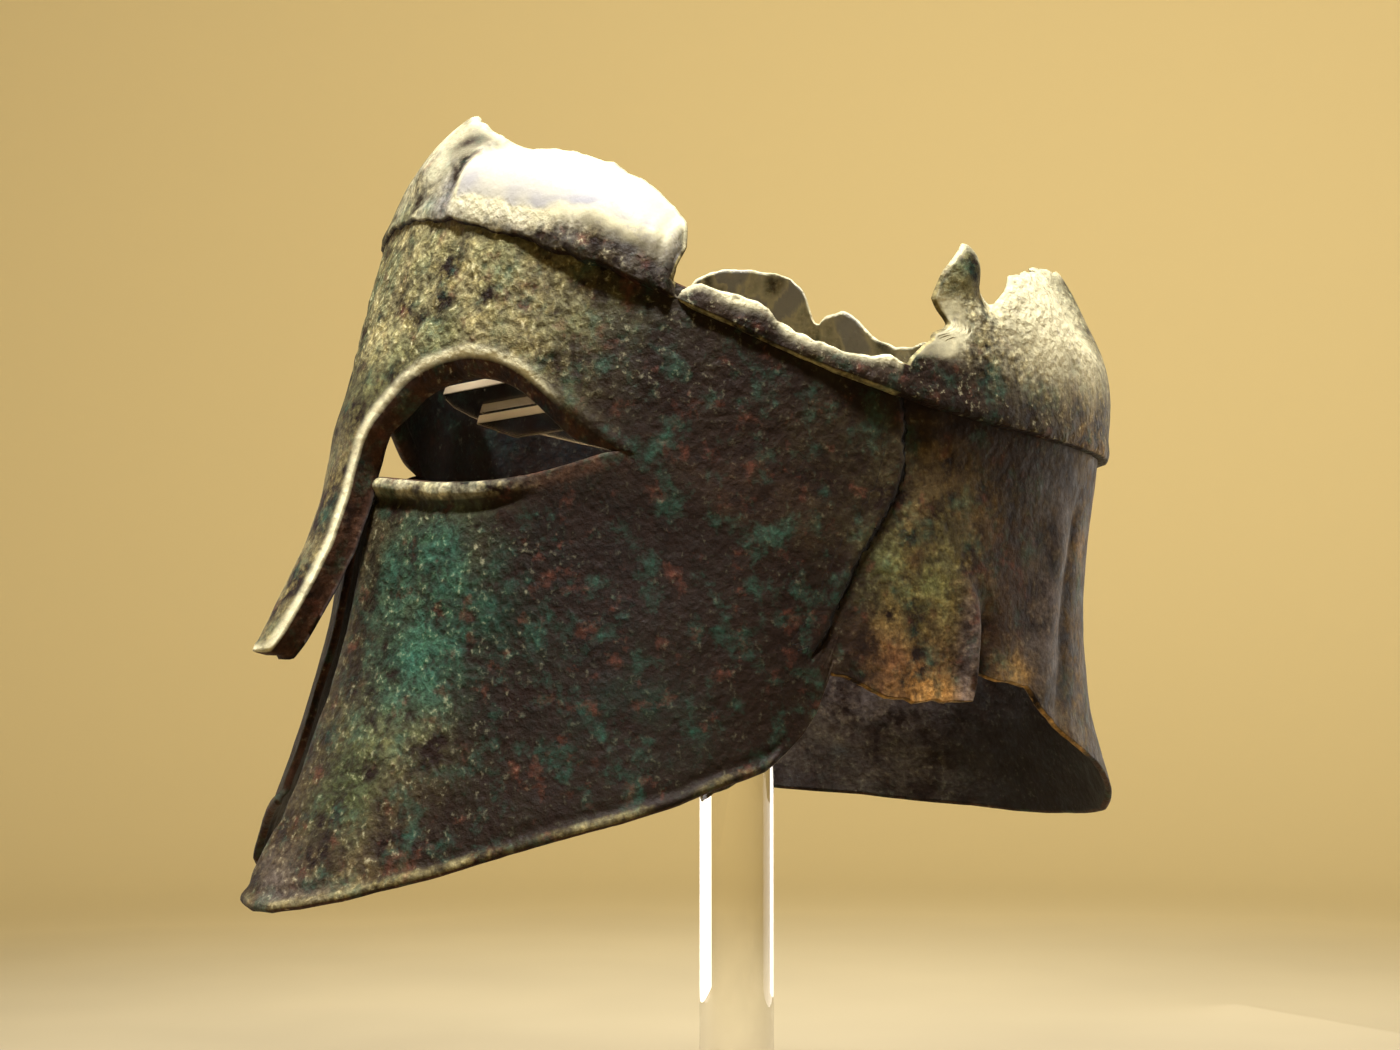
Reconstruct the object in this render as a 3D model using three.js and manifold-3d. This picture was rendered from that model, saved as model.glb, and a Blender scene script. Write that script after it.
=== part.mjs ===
// An ancient Corinthian helmet of thin bronze, broken open at the crown, held by a clear acrylic stand.
// Millimetres, +Z up. The helmet faces -Y and the wearer's left is +X. The origin is under the post, on the table.
import * as THREE from 'three';
import { mergeVertices } from 'three/addons/utils/BufferGeometryUtils.js';
import Module from 'manifold-3d';

const wasm = await Module();
wasm.setup();

// ---- driving dimensions ----
const TILT = THREE.MathUtils.degToRad(17);   // the helmet leans back on its stand by this much
const HELMET_LIFT = 160;                     // height of the helmet's own origin over the table
const HELMET_AHEAD = -12;                    // the helmet's own origin stands in front of the post
const AXIS_Y = -15;                          // the upright line that every horizontal section is drawn around
const WALL = 2.6;                            // bronze sheet, measured towards the upright line
const CROWN_STEP = 3.2;                      // the crown overhangs the walls along the carination
const STEP_HEIGHT = 1.6;
const EDGE_DEPTH = 8;                        // thickened metal round the eyes and along the nasal
const ROWS_CHEEK = 6;                        // rows of facets up to the lower lids
const ROWS_BROW = 4;                         // rows from the upper lids to the carination
const ROWS_CROWN = 4;                        // rows over the carination
const MAX_COLUMN = 8;                        // widest column of facets, degrees

const BASE = { width: 150, depth: 150, height: 14, corner: 10 };
const POST = { radius: 11, sides: 40 };
const PLATE = { top: 52.5, thickness: 3, wallGap: 0.8, step: 7 };
const BAR = { front: -58, back: -44, half: 73, thickness: 3 };
const GAP = 0.3;                             // room between two pieces that meet

// Horizontal sections of the walls and dome, top to bottom, as round-cornered ovals.
const SECTIONS = [
  { z: 150, front: -30, back: 18, half: 20, frontRound: 2.0, backRound: 2.0 },
  { z: 142, front: -66, back: 50, half: 48, frontRound: 2.0, backRound: 2.0 },
  { z: 130, front: -93, back: 72, half: 66, frontRound: 2.1, backRound: 2.1 },
  { z: 115, front: -109, back: 87, half: 79, frontRound: 2.1, backRound: 2.1 },
  { z: 100, front: -117, back: 96, half: 88, frontRound: 2.1, backRound: 2.2 },
  { z: 80, front: -120, back: 100, half: 91, frontRound: 2.1, backRound: 2.3 },
  { z: 50, front: -119, back: 105, half: 93, frontRound: 2.0, backRound: 2.3 },
  { z: 30, front: -115, back: 110, half: 93, frontRound: 1.95, backRound: 2.3 },
  { z: 5, front: -110, back: 122, half: 93, frontRound: 1.85, backRound: 2.3 },
  { z: -15, front: -108, back: 137, half: 94, frontRound: 1.8, backRound: 2.3 },
  { z: -35, front: -106, back: 149, half: 95, frontRound: 1.75, backRound: 2.3 },
  { z: -60, front: -106, back: 150, half: 97, frontRound: 1.7, backRound: 2.3 },
  { z: -85, front: -108, back: 150, half: 100, frontRound: 1.65, backRound: 2.3 },
  { z: -118, front: -114, back: 150, half: 103, frontRound: 1.6, backRound: 2.3 },
];

// Brow: how far the forehead over the eyes stands in front of the cheek pieces, by height.
const BROW = [
  { z: 60, reach: 0 },
  { z: 45, reach: 1.5 },
  { z: 30, reach: 4.5 },
  { z: 14, reach: 9 },
];
const BROW_SPREAD = 24;                      // degrees to each side of the nose

// Upper and lower edges by angle round the head: 0 is the front, + is the wearer's left, 180 is the back.
const TOP_EDGE = [
  { angle: -180, z: 127 }, { angle: -165, z: 124 }, { angle: -152, z: 115 }, { angle: -145, z: 112 },
  { angle: -136, z: 120 }, { angle: -131, z: 114 }, { angle: -128.5, z: 118 }, { angle: -126, z: 125 },
  { angle: -112, z: 122 }, { angle: -104, z: 120 }, { angle: -101, z: 106 }, { angle: -92, z: 97 },
  { angle: -80, z: 91 }, { angle: -66, z: 88 }, { angle: -52, z: 94 }, { angle: -36, z: 100 },
  { angle: -20, z: 105 }, { angle: -8, z: 108 }, { angle: -2, z: 112 }, { angle: 3, z: 116 },
  { angle: 7, z: 117 }, { angle: 10, z: 113 }, { angle: 12.5, z: 110 }, { angle: 14, z: 104 },
  { angle: 26, z: 104 }, { angle: 36, z: 101.5 }, { angle: 45, z: 97 }, { angle: 50, z: 94 },
  { angle: 53.5, z: 89 }, { angle: 55, z: 80 }, { angle: 55.8, z: 70 }, { angle: 59, z: 72 },
  { angle: 66, z: 72.5 }, { angle: 70.5, z: 72 }, { angle: 72, z: 69.5 }, { angle: 76, z: 67.8 },
  { angle: 85, z: 67 }, { angle: 90, z: 68.5 }, { angle: 93, z: 71 }, { angle: 95, z: 70 },
  { angle: 96, z: 91.5 }, { angle: 99, z: 99 }, { angle: 103.5, z: 109 }, { angle: 106, z: 107.5 },
  { angle: 108.5, z: 103 }, { angle: 110, z: 96 }, { angle: 111, z: 97 }, { angle: 112.5, z: 102 },
  { angle: 117, z: 108 }, { angle: 127, z: 115 }, { angle: 137, z: 120 }, { angle: 150, z: 126 },
  { angle: 165, z: 129 }, { angle: 180, z: 127 },
];
const BOTTOM_EDGE = [
  { angle: -180, z: -19.5 }, { angle: -164, z: -22 }, { angle: -150, z: -27 }, { angle: -139, z: -32.5 },
  { angle: -126, z: -36 }, { angle: -112, z: -38 }, { angle: -104, z: -36 }, { angle: -99, z: -29 },
  { angle: -96.5, z: -12 }, { angle: -94, z: -12 }, { angle: -93, z: -35 }, { angle: -90, z: -45 },
  { angle: -82, z: -54 }, { angle: -70, z: -68 }, { angle: -56, z: -81 }, { angle: -41, z: -94.5 },
  { angle: -30, z: -103 }, { angle: -24, z: -101 }, { angle: -18, z: -92 }, { angle: -10, z: -87 },
  { angle: 0, z: -84 }, { angle: 1, z: -111 }, { angle: 3.5, z: -113.5 }, { angle: 7, z: -114.5 },
  { angle: 12, z: -113.5 }, { angle: 18.5, z: -110.5 }, { angle: 26, z: -106 }, { angle: 32, z: -101.3 },
  { angle: 41, z: -94.5 }, { angle: 56, z: -81 }, { angle: 70, z: -68 }, { angle: 77.5, z: -60 },
  { angle: 82, z: -54 }, { angle: 87.5, z: -48 }, { angle: 90, z: -45 }, { angle: 92.5, z: -40 },
  { angle: 95, z: -33 }, { angle: 96.5, z: -26 }, { angle: 97.2, z: -15 }, { angle: 101.5, z: -15.2 },
  { angle: 108, z: -15.8 }, { angle: 113, z: -15.3 }, { angle: 118, z: -12.4 }, { angle: 121.8, z: -9 },
  { angle: 122.8, z: -1 }, { angle: 134, z: 0 }, { angle: 138, z: -3.7 }, { angle: 144, z: -8 },
  { angle: 153, z: -10.2 }, { angle: 162, z: -14 }, { angle: 170, z: -18.5 }, { angle: 180, z: -19.5 },
];

// The eye's two edges, from the nose to the outer corner, on the wearer's left.
const EYE_ARCH = [
  { angle: 6.4, z: 12 }, { angle: 7.4, z: 19 }, { angle: 9, z: 25 }, { angle: 12.1, z: 31.7 },
  { angle: 15.5, z: 36.4 }, { angle: 20.5, z: 40.2 }, { angle: 25, z: 42 }, { angle: 29.6, z: 42.2 },
  { angle: 33.2, z: 41 }, { angle: 36.8, z: 38.6 }, { angle: 42.2, z: 33.6 }, { angle: 46.3, z: 30 },
  { angle: 50, z: 27.4 }, { angle: 54, z: 25 },
];
const EYE_LID = [
  { angle: 3.8, z: 7.4 }, { angle: 13, z: 7 }, { angle: 21, z: 7.2 }, { angle: 28, z: 8.4 },
  { angle: 33.2, z: 10.2 }, { angle: 38.3, z: 12.8 }, { angle: 43.1, z: 16.2 }, { angle: 47.7, z: 20 },
  { angle: 51.5, z: 23.4 }, { angle: 54, z: 25 },
];
// The left cheek piece's front edge, from the lid down to the tip.
const CHEEK_FRONT = [
  { angle: 3.4, z: 0 }, { angle: 3.4, z: -24 }, { angle: 3.6, z: -46 }, { angle: 4, z: -54 },
  { angle: 3, z: -60 }, { angle: 3, z: -70 }, { angle: 3.4, z: -80 }, { angle: 3.6, z: -88 },
  { angle: 2.6, z: -93 }, { angle: 2.4, z: -104 }, { angle: 3.2, z: -112 }, { angle: 4, z: -125 },
];
// The bite under the bent flap at the back left, between it and the edge below.
const FLAP_GAP = [
  { angle: 93, z: 91.5 }, { angle: 96, z: 91 }, { angle: 99, z: 88 }, { angle: 101.6, z: 84.5 },
  { angle: 102.4, z: 81 }, { angle: 101.6, z: 77 }, { angle: 98.5, z: 73 }, { angle: 96, z: 70 },
  { angle: 93, z: 70 },
];

// The nasal: half widths and depths at each height. The front is a low ridge and the back is flat.
const NASAL = [
  { z: 40, half: 10, ridge: -119.5, side: -119, rear: -113 },
  { z: 26, half: 11, ridge: -120.5, side: -119, rear: -111.5 },
  { z: 13, half: 11.5, ridge: -121.3, side: -119, rear: -110.8 },
  { z: 0, half: 11, ridge: -121, side: -118.4, rear: -110.8 },
  { z: -14, half: 10.8, ridge: -121.6, side: -119, rear: -111.2 },
  { z: -30, half: 9.2, ridge: -123.8, side: -121.6, rear: -113.6 },
  { z: -41, half: 7.4, ridge: -125.6, side: -123.6, rear: -115.6 },
  { z: -46.5, half: 4.6, ridge: -126.4, side: -125, rear: -117.4 },
];
// The plate under the crown: half widths along the head. It touches the walls at the temples, where it is widest.
const PLATE_EDGE = [
  { y: -74, half: 64 }, { y: -71, half: 70 }, { y: -65, half: 78 }, { y: -55, half: 88 }, { y: -50, half: 84 },
  { y: -38, half: 71 }, { y: -28, half: 64 }, { y: -19, half: 56 }, { y: 0, half: 42 }, { y: 24, half: 25 },
];
const LID_BEAD = { raise: 1.8, height: 4.6, depth: 4.2 };
const ARCH_BAND = { height: 3.2, lift: 0.35 };

// ---- small helpers ----

/** Smooth curve through one column of a table whose rows fall in z. */
function alongTable(table, key, z) {
  const clamped = THREE.MathUtils.clamp(z, table[table.length - 1].z, table[0].z);
  let i = 0;
  while (i < table.length - 2 && table[i + 1].z > clamped) i += 1;
  const [a, b] = [table[i], table[i + 1]];
  const before = table[Math.max(i - 1, 0)];
  const after = table[Math.min(i + 2, table.length - 1)];
  const step = b.z - a.z;
  const t = (clamped - a.z) / step;
  const slopeA = (b[key] - before[key]) / (b.z - before.z) * step;
  const slopeB = (after[key] - a[key]) / (after.z - a.z) * step;
  return THREE.MathUtils.lerp(a[key], b[key], t * t * (3 - 2 * t))
    + t * (1 - t) * ((1 - t) * slopeA - t * slopeB);
}

/** Straight-line reading of an edge table at an angle. */
function edgeHeight(table, angle) {
  let i = 0;
  while (i < table.length - 2 && table[i + 1].angle < angle) i += 1;
  const [a, b] = [table[i], table[i + 1]];
  const t = THREE.MathUtils.clamp((angle - a.angle) / (b.angle - a.angle), 0, 1);
  return THREE.MathUtils.lerp(a.z, b.z, t);
}

/** Height of the carination, the step that runs round the head under the crown: high at front and back. */
function carination(angle) {
  return 71 + 9 * Math.cos(2 * THREE.MathUtils.degToRad(angle));
}

/** Radius of the outer surface from the upright line, at an angle and height, over or under the eyes. */
function outerRadius(angle, z, overEyes = true) {
  const turn = THREE.MathUtils.degToRad(angle);
  const isFront = Math.cos(turn) > 0;
  const browReach = overEyes && z < 60
    ? alongTable(BROW, 'reach', z) * Math.exp(-((angle / BROW_SPREAD) ** 2))
    : 0;
  const reach = isFront
    ? AXIS_Y - alongTable(SECTIONS, 'front', z) + browReach
    : alongTable(SECTIONS, 'back', z) - AXIS_Y;
  const power = alongTable(SECTIONS, isFront ? 'frontRound' : 'backRound', z);
  const half = alongTable(SECTIONS, 'half', z);
  const oval = (Math.abs(Math.sin(turn)) / half) ** power + (Math.abs(Math.cos(turn)) / reach) ** power;
  const overhang = THREE.MathUtils.clamp((z - carination(angle)) / STEP_HEIGHT, 0, 1);
  return oval ** (-1 / power) + CROWN_STEP * overhang;
}

/** A point at an angle, height and depth under the outer surface. */
function shellPoint(angle, z, depth, overEyes = true) {
  const turn = THREE.MathUtils.degToRad(angle);
  const radius = outerRadius(angle, z, overEyes) - depth;
  return [radius * Math.sin(turn), AXIS_Y - radius * Math.cos(turn), z];
}

/** Turns corner points and outward triangles into a manifold solid. */
function toSolid(points, triangles) {
  const geometry = new THREE.BufferGeometry();
  geometry.setAttribute('position', new THREE.Float32BufferAttribute(points.flat(), 3));
  geometry.setIndex(triangles.flat());
  const merged = mergeVertices(geometry, 1e-4);
  return new wasm.Manifold(new wasm.Mesh({
    numProp: 3,
    vertProperties: merged.attributes.position.array,
    triVerts: new Uint32Array(merged.index.array),
  }));
}

/** Closed solid through equal rings of points, with both ends capped by a fan from their first point. */
function loftRings(rings) {
  const size = rings[0].length;
  const triangles = [];
  for (let r = 0; r < rings.length - 1; r += 1) {
    for (let i = 0; i < size; i += 1) {
      const [a, b] = [r * size + i, r * size + ((i + 1) % size)];
      triangles.push([a, b, b + size], [a, b + size, a + size]);
    }
  }
  const last = (rings.length - 1) * size;
  for (let i = 1; i < size - 1; i += 1) {
    triangles.push([0, i + 1, i], [last, last + i, last + i + 1]);
  }
  const solid = toSolid(rings.flat(), triangles);
  return solid.volume() > 0 ? solid : toSolid(rings.flat(), triangles.map(([a, b, c]) => [a, c, b]));
}

/** Turns a manifold solid back into a geometry. */
function toGeometry(solid) {
  const mesh = solid.getMesh();
  const geometry = new THREE.BufferGeometry();
  geometry.setAttribute('position', new THREE.BufferAttribute(mesh.vertProperties, 3));
  geometry.setIndex(new THREE.BufferAttribute(mesh.triVerts, 1));
  return geometry;
}

/** Turns a three.js geometry into a manifold solid. */
function fromGeometry(geometry) {
  const bare = geometry.clone();
  bare.deleteAttribute('normal');
  bare.deleteAttribute('uv');
  const merged = mergeVertices(bare, 1e-4);
  const index = merged.index ?? { array: [...Array(merged.attributes.position.count).keys()] };
  return new wasm.Manifold(new wasm.Mesh({
    numProp: 3,
    vertProperties: new Float32Array(merged.attributes.position.array),
    triVerts: new Uint32Array(index.array),
  }));
}

// ---- the helmet's shell ----

/** The angles of the facet columns: every corner of both edge tables, and more where they are far apart. */
function columnAngles() {
  const corners = new Set([...TOP_EDGE, ...BOTTOM_EDGE].map((row) => row.angle));
  for (const row of [...EYE_ARCH, ...EYE_LID]) {
    if (row.angle > 8 && row.angle < 53) [row.angle, -row.angle].forEach((angle) => corners.add(Math.round(angle / 4) * 4));
  }
  const sorted = [...corners].filter((angle) => angle < 180).sort((a, b) => a - b);
  const kept = sorted.filter((angle, i) => i === 0 || angle - sorted[i - 1] > 0.4);
  return kept.flatMap((angle, i) => {
    const next = i + 1 < kept.length ? kept[i + 1] : 180;
    const count = Math.ceil((next - angle) / MAX_COLUMN);
    return Array.from({ length: count }, (_, k) => angle + ((next - angle) * k) / count);
  });
}

/** One column's rows of facets, in three runs: up to the lower lid, from the upper lid to the carination, the crown. */
function columnRows(angle) {
  const top = edgeHeight(TOP_EDGE, angle);
  const bottom = edgeHeight(BOTTOM_EDGE, angle);
  const step = Math.min(carination(angle), top - 2 * STEP_HEIGHT);
  const lid = edgeHeight(EYE_LID, Math.abs(angle)) + 0.6;
  const arch = Math.max(edgeHeight(EYE_ARCH, Math.abs(angle)) - 0.6, lid + 1);
  const run = (from, to, count, overEyes) => Array.from({ length: count }, (_, i) => (
    { z: THREE.MathUtils.lerp(from, to, i / (count - 1)), overEyes }
  ));
  return [
    ...run(bottom, lid, ROWS_CHEEK, false),
    ...run(arch, step, ROWS_BROW, true),
    ...run(step + STEP_HEIGHT, top, ROWS_CROWN, true),
  ];
}

/** The whole bell of sheet metal, before the face is cut open. */
function bellSolid() {
  const angles = columnAngles();
  const rows = ROWS_CHEEK + ROWS_BROW + ROWS_CROWN;
  const skin = (depth) => angles.flatMap((angle) => (
    columnRows(angle).map(({ z, overEyes }) => shellPoint(angle, z, depth, overEyes))
  ));
  const points = [...skin(0), ...skin(WALL)];
  const inner = angles.length * rows;
  const triangles = [];
  angles.forEach((_, c) => {
    const [here, next] = [c * rows, ((c + 1) % angles.length) * rows];
    for (let r = 0; r < rows - 1; r += 1) {
      const [a, b, d, e] = [here + r, next + r, here + r + 1, next + r + 1];
      triangles.push([a, b, e], [a, e, d]);
      triangles.push([inner + a, inner + e, inner + b], [inner + a, inner + d, inner + e]);
    }
    const [top, topNext] = [here + rows - 1, next + rows - 1];
    triangles.push([here, inner + next, next], [here, inner + here, inner + next]);
    triangles.push([top, topNext, inner + topNext], [top, inner + topNext, inner + top]);
  });
  return toSolid(points, triangles);
}

/** A cutter: an outline drawn in angle and height, pushed outward from near the upright line. */
function radialCutter(corners) {
  const toFlat = (rows) => rows.map(({ angle, z }) => new THREE.Vector2(angle, z));
  const outline = THREE.ShapeUtils.isClockWise(toFlat(corners)) ? [...corners].reverse() : corners;
  const flat = toFlat(outline);
  const faces = THREE.ShapeUtils.triangulateShape(flat, []);
  const ring = (radius) => outline.map(({ angle, z }) => {
    const turn = THREE.MathUtils.degToRad(angle);
    return [radius * Math.sin(turn), AXIS_Y - radius * Math.cos(turn), z];
  });
  const count = outline.length;
  const triangles = [
    ...faces.map(([a, b, c]) => [a, c, b]),
    ...faces.map(([a, b, c]) => [a + count, b + count, c + count]),
  ];
  outline.forEach((_, i) => {
    const next = (i + 1) % count;
    triangles.push([i, next, next + count], [i, next + count, i + count]);
  });
  const points = [...ring(30), ...ring(190)];
  const solid = toSolid(points, triangles);
  return solid.volume() > 0 ? solid : toSolid(points, triangles.map(([a, b, c]) => [a, c, b]));
}

const mirrored = (rows) => rows.map((row) => ({ ...row, angle: -row.angle }));

/** One side's opening: the eye, the room behind the nasal and half of the slit between the cheek pieces. */
function faceOpening(side) {
  const outline = [
    { angle: 0, z: 12 }, ...EYE_ARCH, ...[...EYE_LID].reverse().slice(1), ...CHEEK_FRONT, { angle: 0, z: -125 },
  ];
  return radialCutter(side > 0 ? outline : mirrored(outline));
}

/** The nasal bar, from the forehead down to its free tip. */
function nasalSolid() {
  const inset = 0.78;
  return loftRings(NASAL.map(({ z, half, ridge, side, rear }) => [
    [-half * inset, rear, z], [half * inset, rear, z], [half, side, z], [0, ridge, z], [-half, side, z],
  ]));
}

/** The thick edge over one eye, a band set inward from the sheet that thins out towards the outer corner. */
function archSolid(side) {
  const last = EYE_ARCH.length - 1;
  return loftRings(EYE_ARCH.slice(0, last).map(({ angle, z }, i) => {
    const before = EYE_ARCH[Math.max(i - 1, 0)];
    const after = EYE_ARCH[i + 1];
    const lean = Math.atan2((after.z - before.z), (after.angle - before.angle) * 1.7);
    const depth = THREE.MathUtils.lerp(EDGE_DEPTH, WALL + 1, Math.max(0, i - 6) / (last - 7));
    const upAngle = (-Math.sin(lean) * ARCH_BAND.height) / 1.7;
    const upZ = Math.cos(lean) * ARCH_BAND.height;
    const near = (out) => shellPoint(side * angle, z, out);
    const far = (out) => shellPoint(side * (angle + upAngle), z + upZ, out);
    return [near(-ARCH_BAND.lift), near(depth), far(depth * 0.8), far(-ARCH_BAND.lift)];
  }));
}

/** The raised bead under one eye. */
function lidSolid(side) {
  return loftRings(EYE_LID.slice(0, -1).map(({ angle, z }) => {
    const at = (down, out) => shellPoint(side * angle, z - down, out, false);
    return [
      at(0.2, LID_BEAD.depth), at(0, -LID_BEAD.raise * 0.6), at(LID_BEAD.height * 0.45, -LID_BEAD.raise),
      at(LID_BEAD.height, -0.2), at(LID_BEAD.height, LID_BEAD.depth),
    ];
  }));
}

function helmetSolid() {
  let solid = bellSolid();
  for (const side of [1, -1]) solid = solid.subtract(faceOpening(side));
  solid = solid.subtract(radialCutter(FLAP_GAP));
  for (const side of [1, -1]) solid = solid.add(archSolid(side)).add(lidSolid(side));
  return solid.add(nasalSolid());
}

// ---- the stand ----

/** The plate's outline: its edge table, held back from the inside of the walls. */
function plateShape() {
  const [first, last] = [PLATE_EDGE[0].y, PLATE_EDGE[PLATE_EDGE.length - 1].y];
  const count = Math.ceil((last - first) / PLATE.step);
  const side = Array.from({ length: count + 1 }, (_, i) => {
    const y = THREE.MathUtils.lerp(first, last, i / count);
    return new THREE.Vector2(Math.min(tableHalf(y), wallHalf(y)), y);
  });
  const otherSide = [...side].reverse().map(({ x, y }) => new THREE.Vector2(-x, y));
  return new THREE.Shape([...side, ...otherSide]);
}

/** Half width that the plate's table gives at a distance along the head. */
function tableHalf(y) {
  let i = 0;
  while (i < PLATE_EDGE.length - 2 && PLATE_EDGE[i + 1].y < y) i += 1;
  const [a, b] = [PLATE_EDGE[i], PLATE_EDGE[i + 1]];
  return THREE.MathUtils.mapLinear(y, a.y, b.y, a.half, b.half);
}

/** Half width of the room between the walls at the plate's height, at a distance along the head. */
function wallHalf(y) {
  const ahead = AXIS_Y - y;
  let x = 60;
  for (let i = 0; i < 30; i += 1) {
    const angle = THREE.MathUtils.radToDeg(Math.atan2(x, ahead));
    const radius = outerRadius(angle, PLATE.top) - WALL - PLATE.wallGap;
    x = Math.sqrt(Math.max(radius ** 2 - ahead ** 2, 1));
  }
  return x;
}

/** A cylinder under the tilted plate: its top is cut along the plate's underside. */
function postGeometry(helmetMatrix) {
  const tall = HELMET_LIFT + PLATE.top;
  const post = new THREE.CylinderGeometry(POST.radius, POST.radius, tall, POST.sides);
  post.rotateX(Math.PI / 2);
  post.translate(0, 0, tall / 2 + BASE.height + GAP);
  const lid = new THREE.BoxGeometry(300, 300, 200);
  lid.translate(0, 0, PLATE.top - PLATE.thickness - GAP + 100);
  lid.applyMatrix4(helmetMatrix);
  return toGeometry(fromGeometry(post).subtract(fromGeometry(lid)));
}

function roundedSlab({ width, depth, height, corner }) {
  const [x, y] = [width / 2, depth / 2];
  const shape = new THREE.Shape();
  shape.moveTo(-x + corner, -y);
  shape.lineTo(x - corner, -y).absarc(x - corner, -y + corner, corner, -Math.PI / 2, 0);
  shape.lineTo(x, y - corner).absarc(x - corner, y - corner, corner, 0, Math.PI / 2);
  shape.lineTo(-x + corner, y).absarc(-x + corner, y - corner, corner, Math.PI / 2, Math.PI);
  shape.lineTo(-x, -y + corner).absarc(-x + corner, -y + corner, corner, Math.PI, 1.5 * Math.PI);
  return new THREE.ExtrudeGeometry(shape, { depth: height, bevelEnabled: false, curveSegments: 6 });
}

function barGeometry() {
  const bar = new THREE.BoxGeometry(2 * BAR.half, BAR.back - BAR.front, BAR.thickness);
  const top = PLATE.top - PLATE.thickness - GAP;
  return bar.translate(0, (BAR.front + BAR.back) / 2, top - BAR.thickness / 2);
}

// ---- assembly ----

const bronze = new THREE.MeshStandardMaterial({ color: 0x51563f, roughness: 0.7, metalness: 0.35 });
const acrylic = new THREE.MeshStandardMaterial({
  color: 0xe8ecf0, roughness: 0.08, metalness: 0, transparent: true, opacity: 0.35,
});

function named(name, geometry, material) {
  const mesh = new THREE.Mesh(geometry, material);
  mesh.name = name;
  return mesh;
}

const held = new THREE.Group();
held.rotation.x = -TILT;
held.position.set(0, HELMET_AHEAD, HELMET_LIFT);
held.updateMatrixWorld(true);
const plate = new THREE.ExtrudeGeometry(plateShape(), { depth: PLATE.thickness, bevelEnabled: false });
plate.translate(0, 0, PLATE.top - PLATE.thickness);
held.add(
  named('helmet_shell', toGeometry(helmetSolid()), bronze),
  named('support_plate', plate, acrylic),
  named('support_bar', barGeometry(), acrylic),
);

const group = new THREE.Group();
group.add(
  held,
  named('stand_base', roundedSlab(BASE), acrylic),
  named('stand_post', postGeometry(held.matrixWorld), acrylic),
);

export default group;
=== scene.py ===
"""The looks of an ancient Corinthian helmet of corroded bronze, held by a clear acrylic stand.

Sizes are millimetres. Places on the helmet are an angle round the head, in degrees (0 is the front and + is the
wearer's left), and a height in the helmet's own upright frame. Finished meshes are metres in the model's frame.
"""

from __future__ import annotations

import logging
from dataclasses import dataclass
from enum import Enum

import bpy
import numpy as np
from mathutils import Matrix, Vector


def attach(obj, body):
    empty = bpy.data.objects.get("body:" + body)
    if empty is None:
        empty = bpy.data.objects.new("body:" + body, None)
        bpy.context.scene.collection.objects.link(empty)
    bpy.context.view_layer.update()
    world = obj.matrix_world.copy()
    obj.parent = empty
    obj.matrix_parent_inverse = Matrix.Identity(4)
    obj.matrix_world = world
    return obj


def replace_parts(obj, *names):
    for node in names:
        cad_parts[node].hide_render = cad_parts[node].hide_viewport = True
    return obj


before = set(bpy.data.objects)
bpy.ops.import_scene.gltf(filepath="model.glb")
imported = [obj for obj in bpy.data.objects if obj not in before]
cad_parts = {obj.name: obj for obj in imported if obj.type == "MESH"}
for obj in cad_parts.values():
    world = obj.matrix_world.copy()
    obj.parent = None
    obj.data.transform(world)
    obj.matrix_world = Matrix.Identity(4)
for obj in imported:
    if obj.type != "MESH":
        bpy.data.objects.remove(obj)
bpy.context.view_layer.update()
LOG = logging.getLogger("helmet")

Colour = tuple[float, float, float]
Array = np.ndarray
Socket = bpy.types.NodeSocket
Material = bpy.types.Material
Object = bpy.types.Object

TILT = np.radians(17.0)
HELMET_LIFT = 160.0
HELMET_AHEAD = -12.0
AXIS_Y = -15.0
CROWN_STEP = 3.2  # how far the crown stands proud of the wall
OVERLAP = 3.5  # how far the wall runs up behind the crown
DRUM = 98.0  # radius of the plain drum on which patterns are read
DEGREE = np.pi / 180.0
SPREAD = 1.75  # millimetres to a degree round the wall, near enough for distances
FAR = 60.0  # stands for any distance too large to matter, mm
NO_CRACK = 9.0  # painted where there is no crack, well past its width
SHARP = 0.15  # edges that turn more than this angle, in radians, stay sharp on the acrylic

# Horizontal sections of the walls: height, front, back, half width, roundness of the front and of the back.
SECTIONS = np.array([
    (-118, -114, 150, 103, 1.6, 2.3), (-85, -108, 150, 100, 1.65, 2.3), (-60, -106, 150, 97, 1.7, 2.3),
    (-35, -106, 149, 95, 1.75, 2.3), (-15, -108, 137, 94, 1.8, 2.3), (5, -110, 122, 93, 1.85, 2.3),
    (30, -115, 110, 93, 1.95, 2.3), (50, -119, 105, 93, 2.0, 2.3), (80, -120, 100, 91, 2.1, 2.3),
    (100, -117, 96, 88, 2.1, 2.2), (115, -109, 87, 79, 2.1, 2.1), (130, -93, 72, 66, 2.1, 2.1),
    (142, -66, 50, 48, 2.0, 2.0), (150, -30, 18, 20, 2.0, 2.0),
])
BROW = np.array([(14, 9), (30, 4.5), (45, 1.5), (60, 0)])
BROW_SPREAD = 24.0
# The nasal's side edge by height, as a radius, and its half width in degrees.
NASAL_SIDE = np.array([(-48, 110.2), (-41, 108.6), (-30, 106.6), (-14, 104), (0, 103.4), (13, 104)])
NASAL_HALF = np.array([
    (-48, 2.0), (-46, 2.7), (-41, 3.9), (-30, 4.9), (-14, 5.8), (0, 6.0), (13, 6.4), (40, 12),
])

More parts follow.
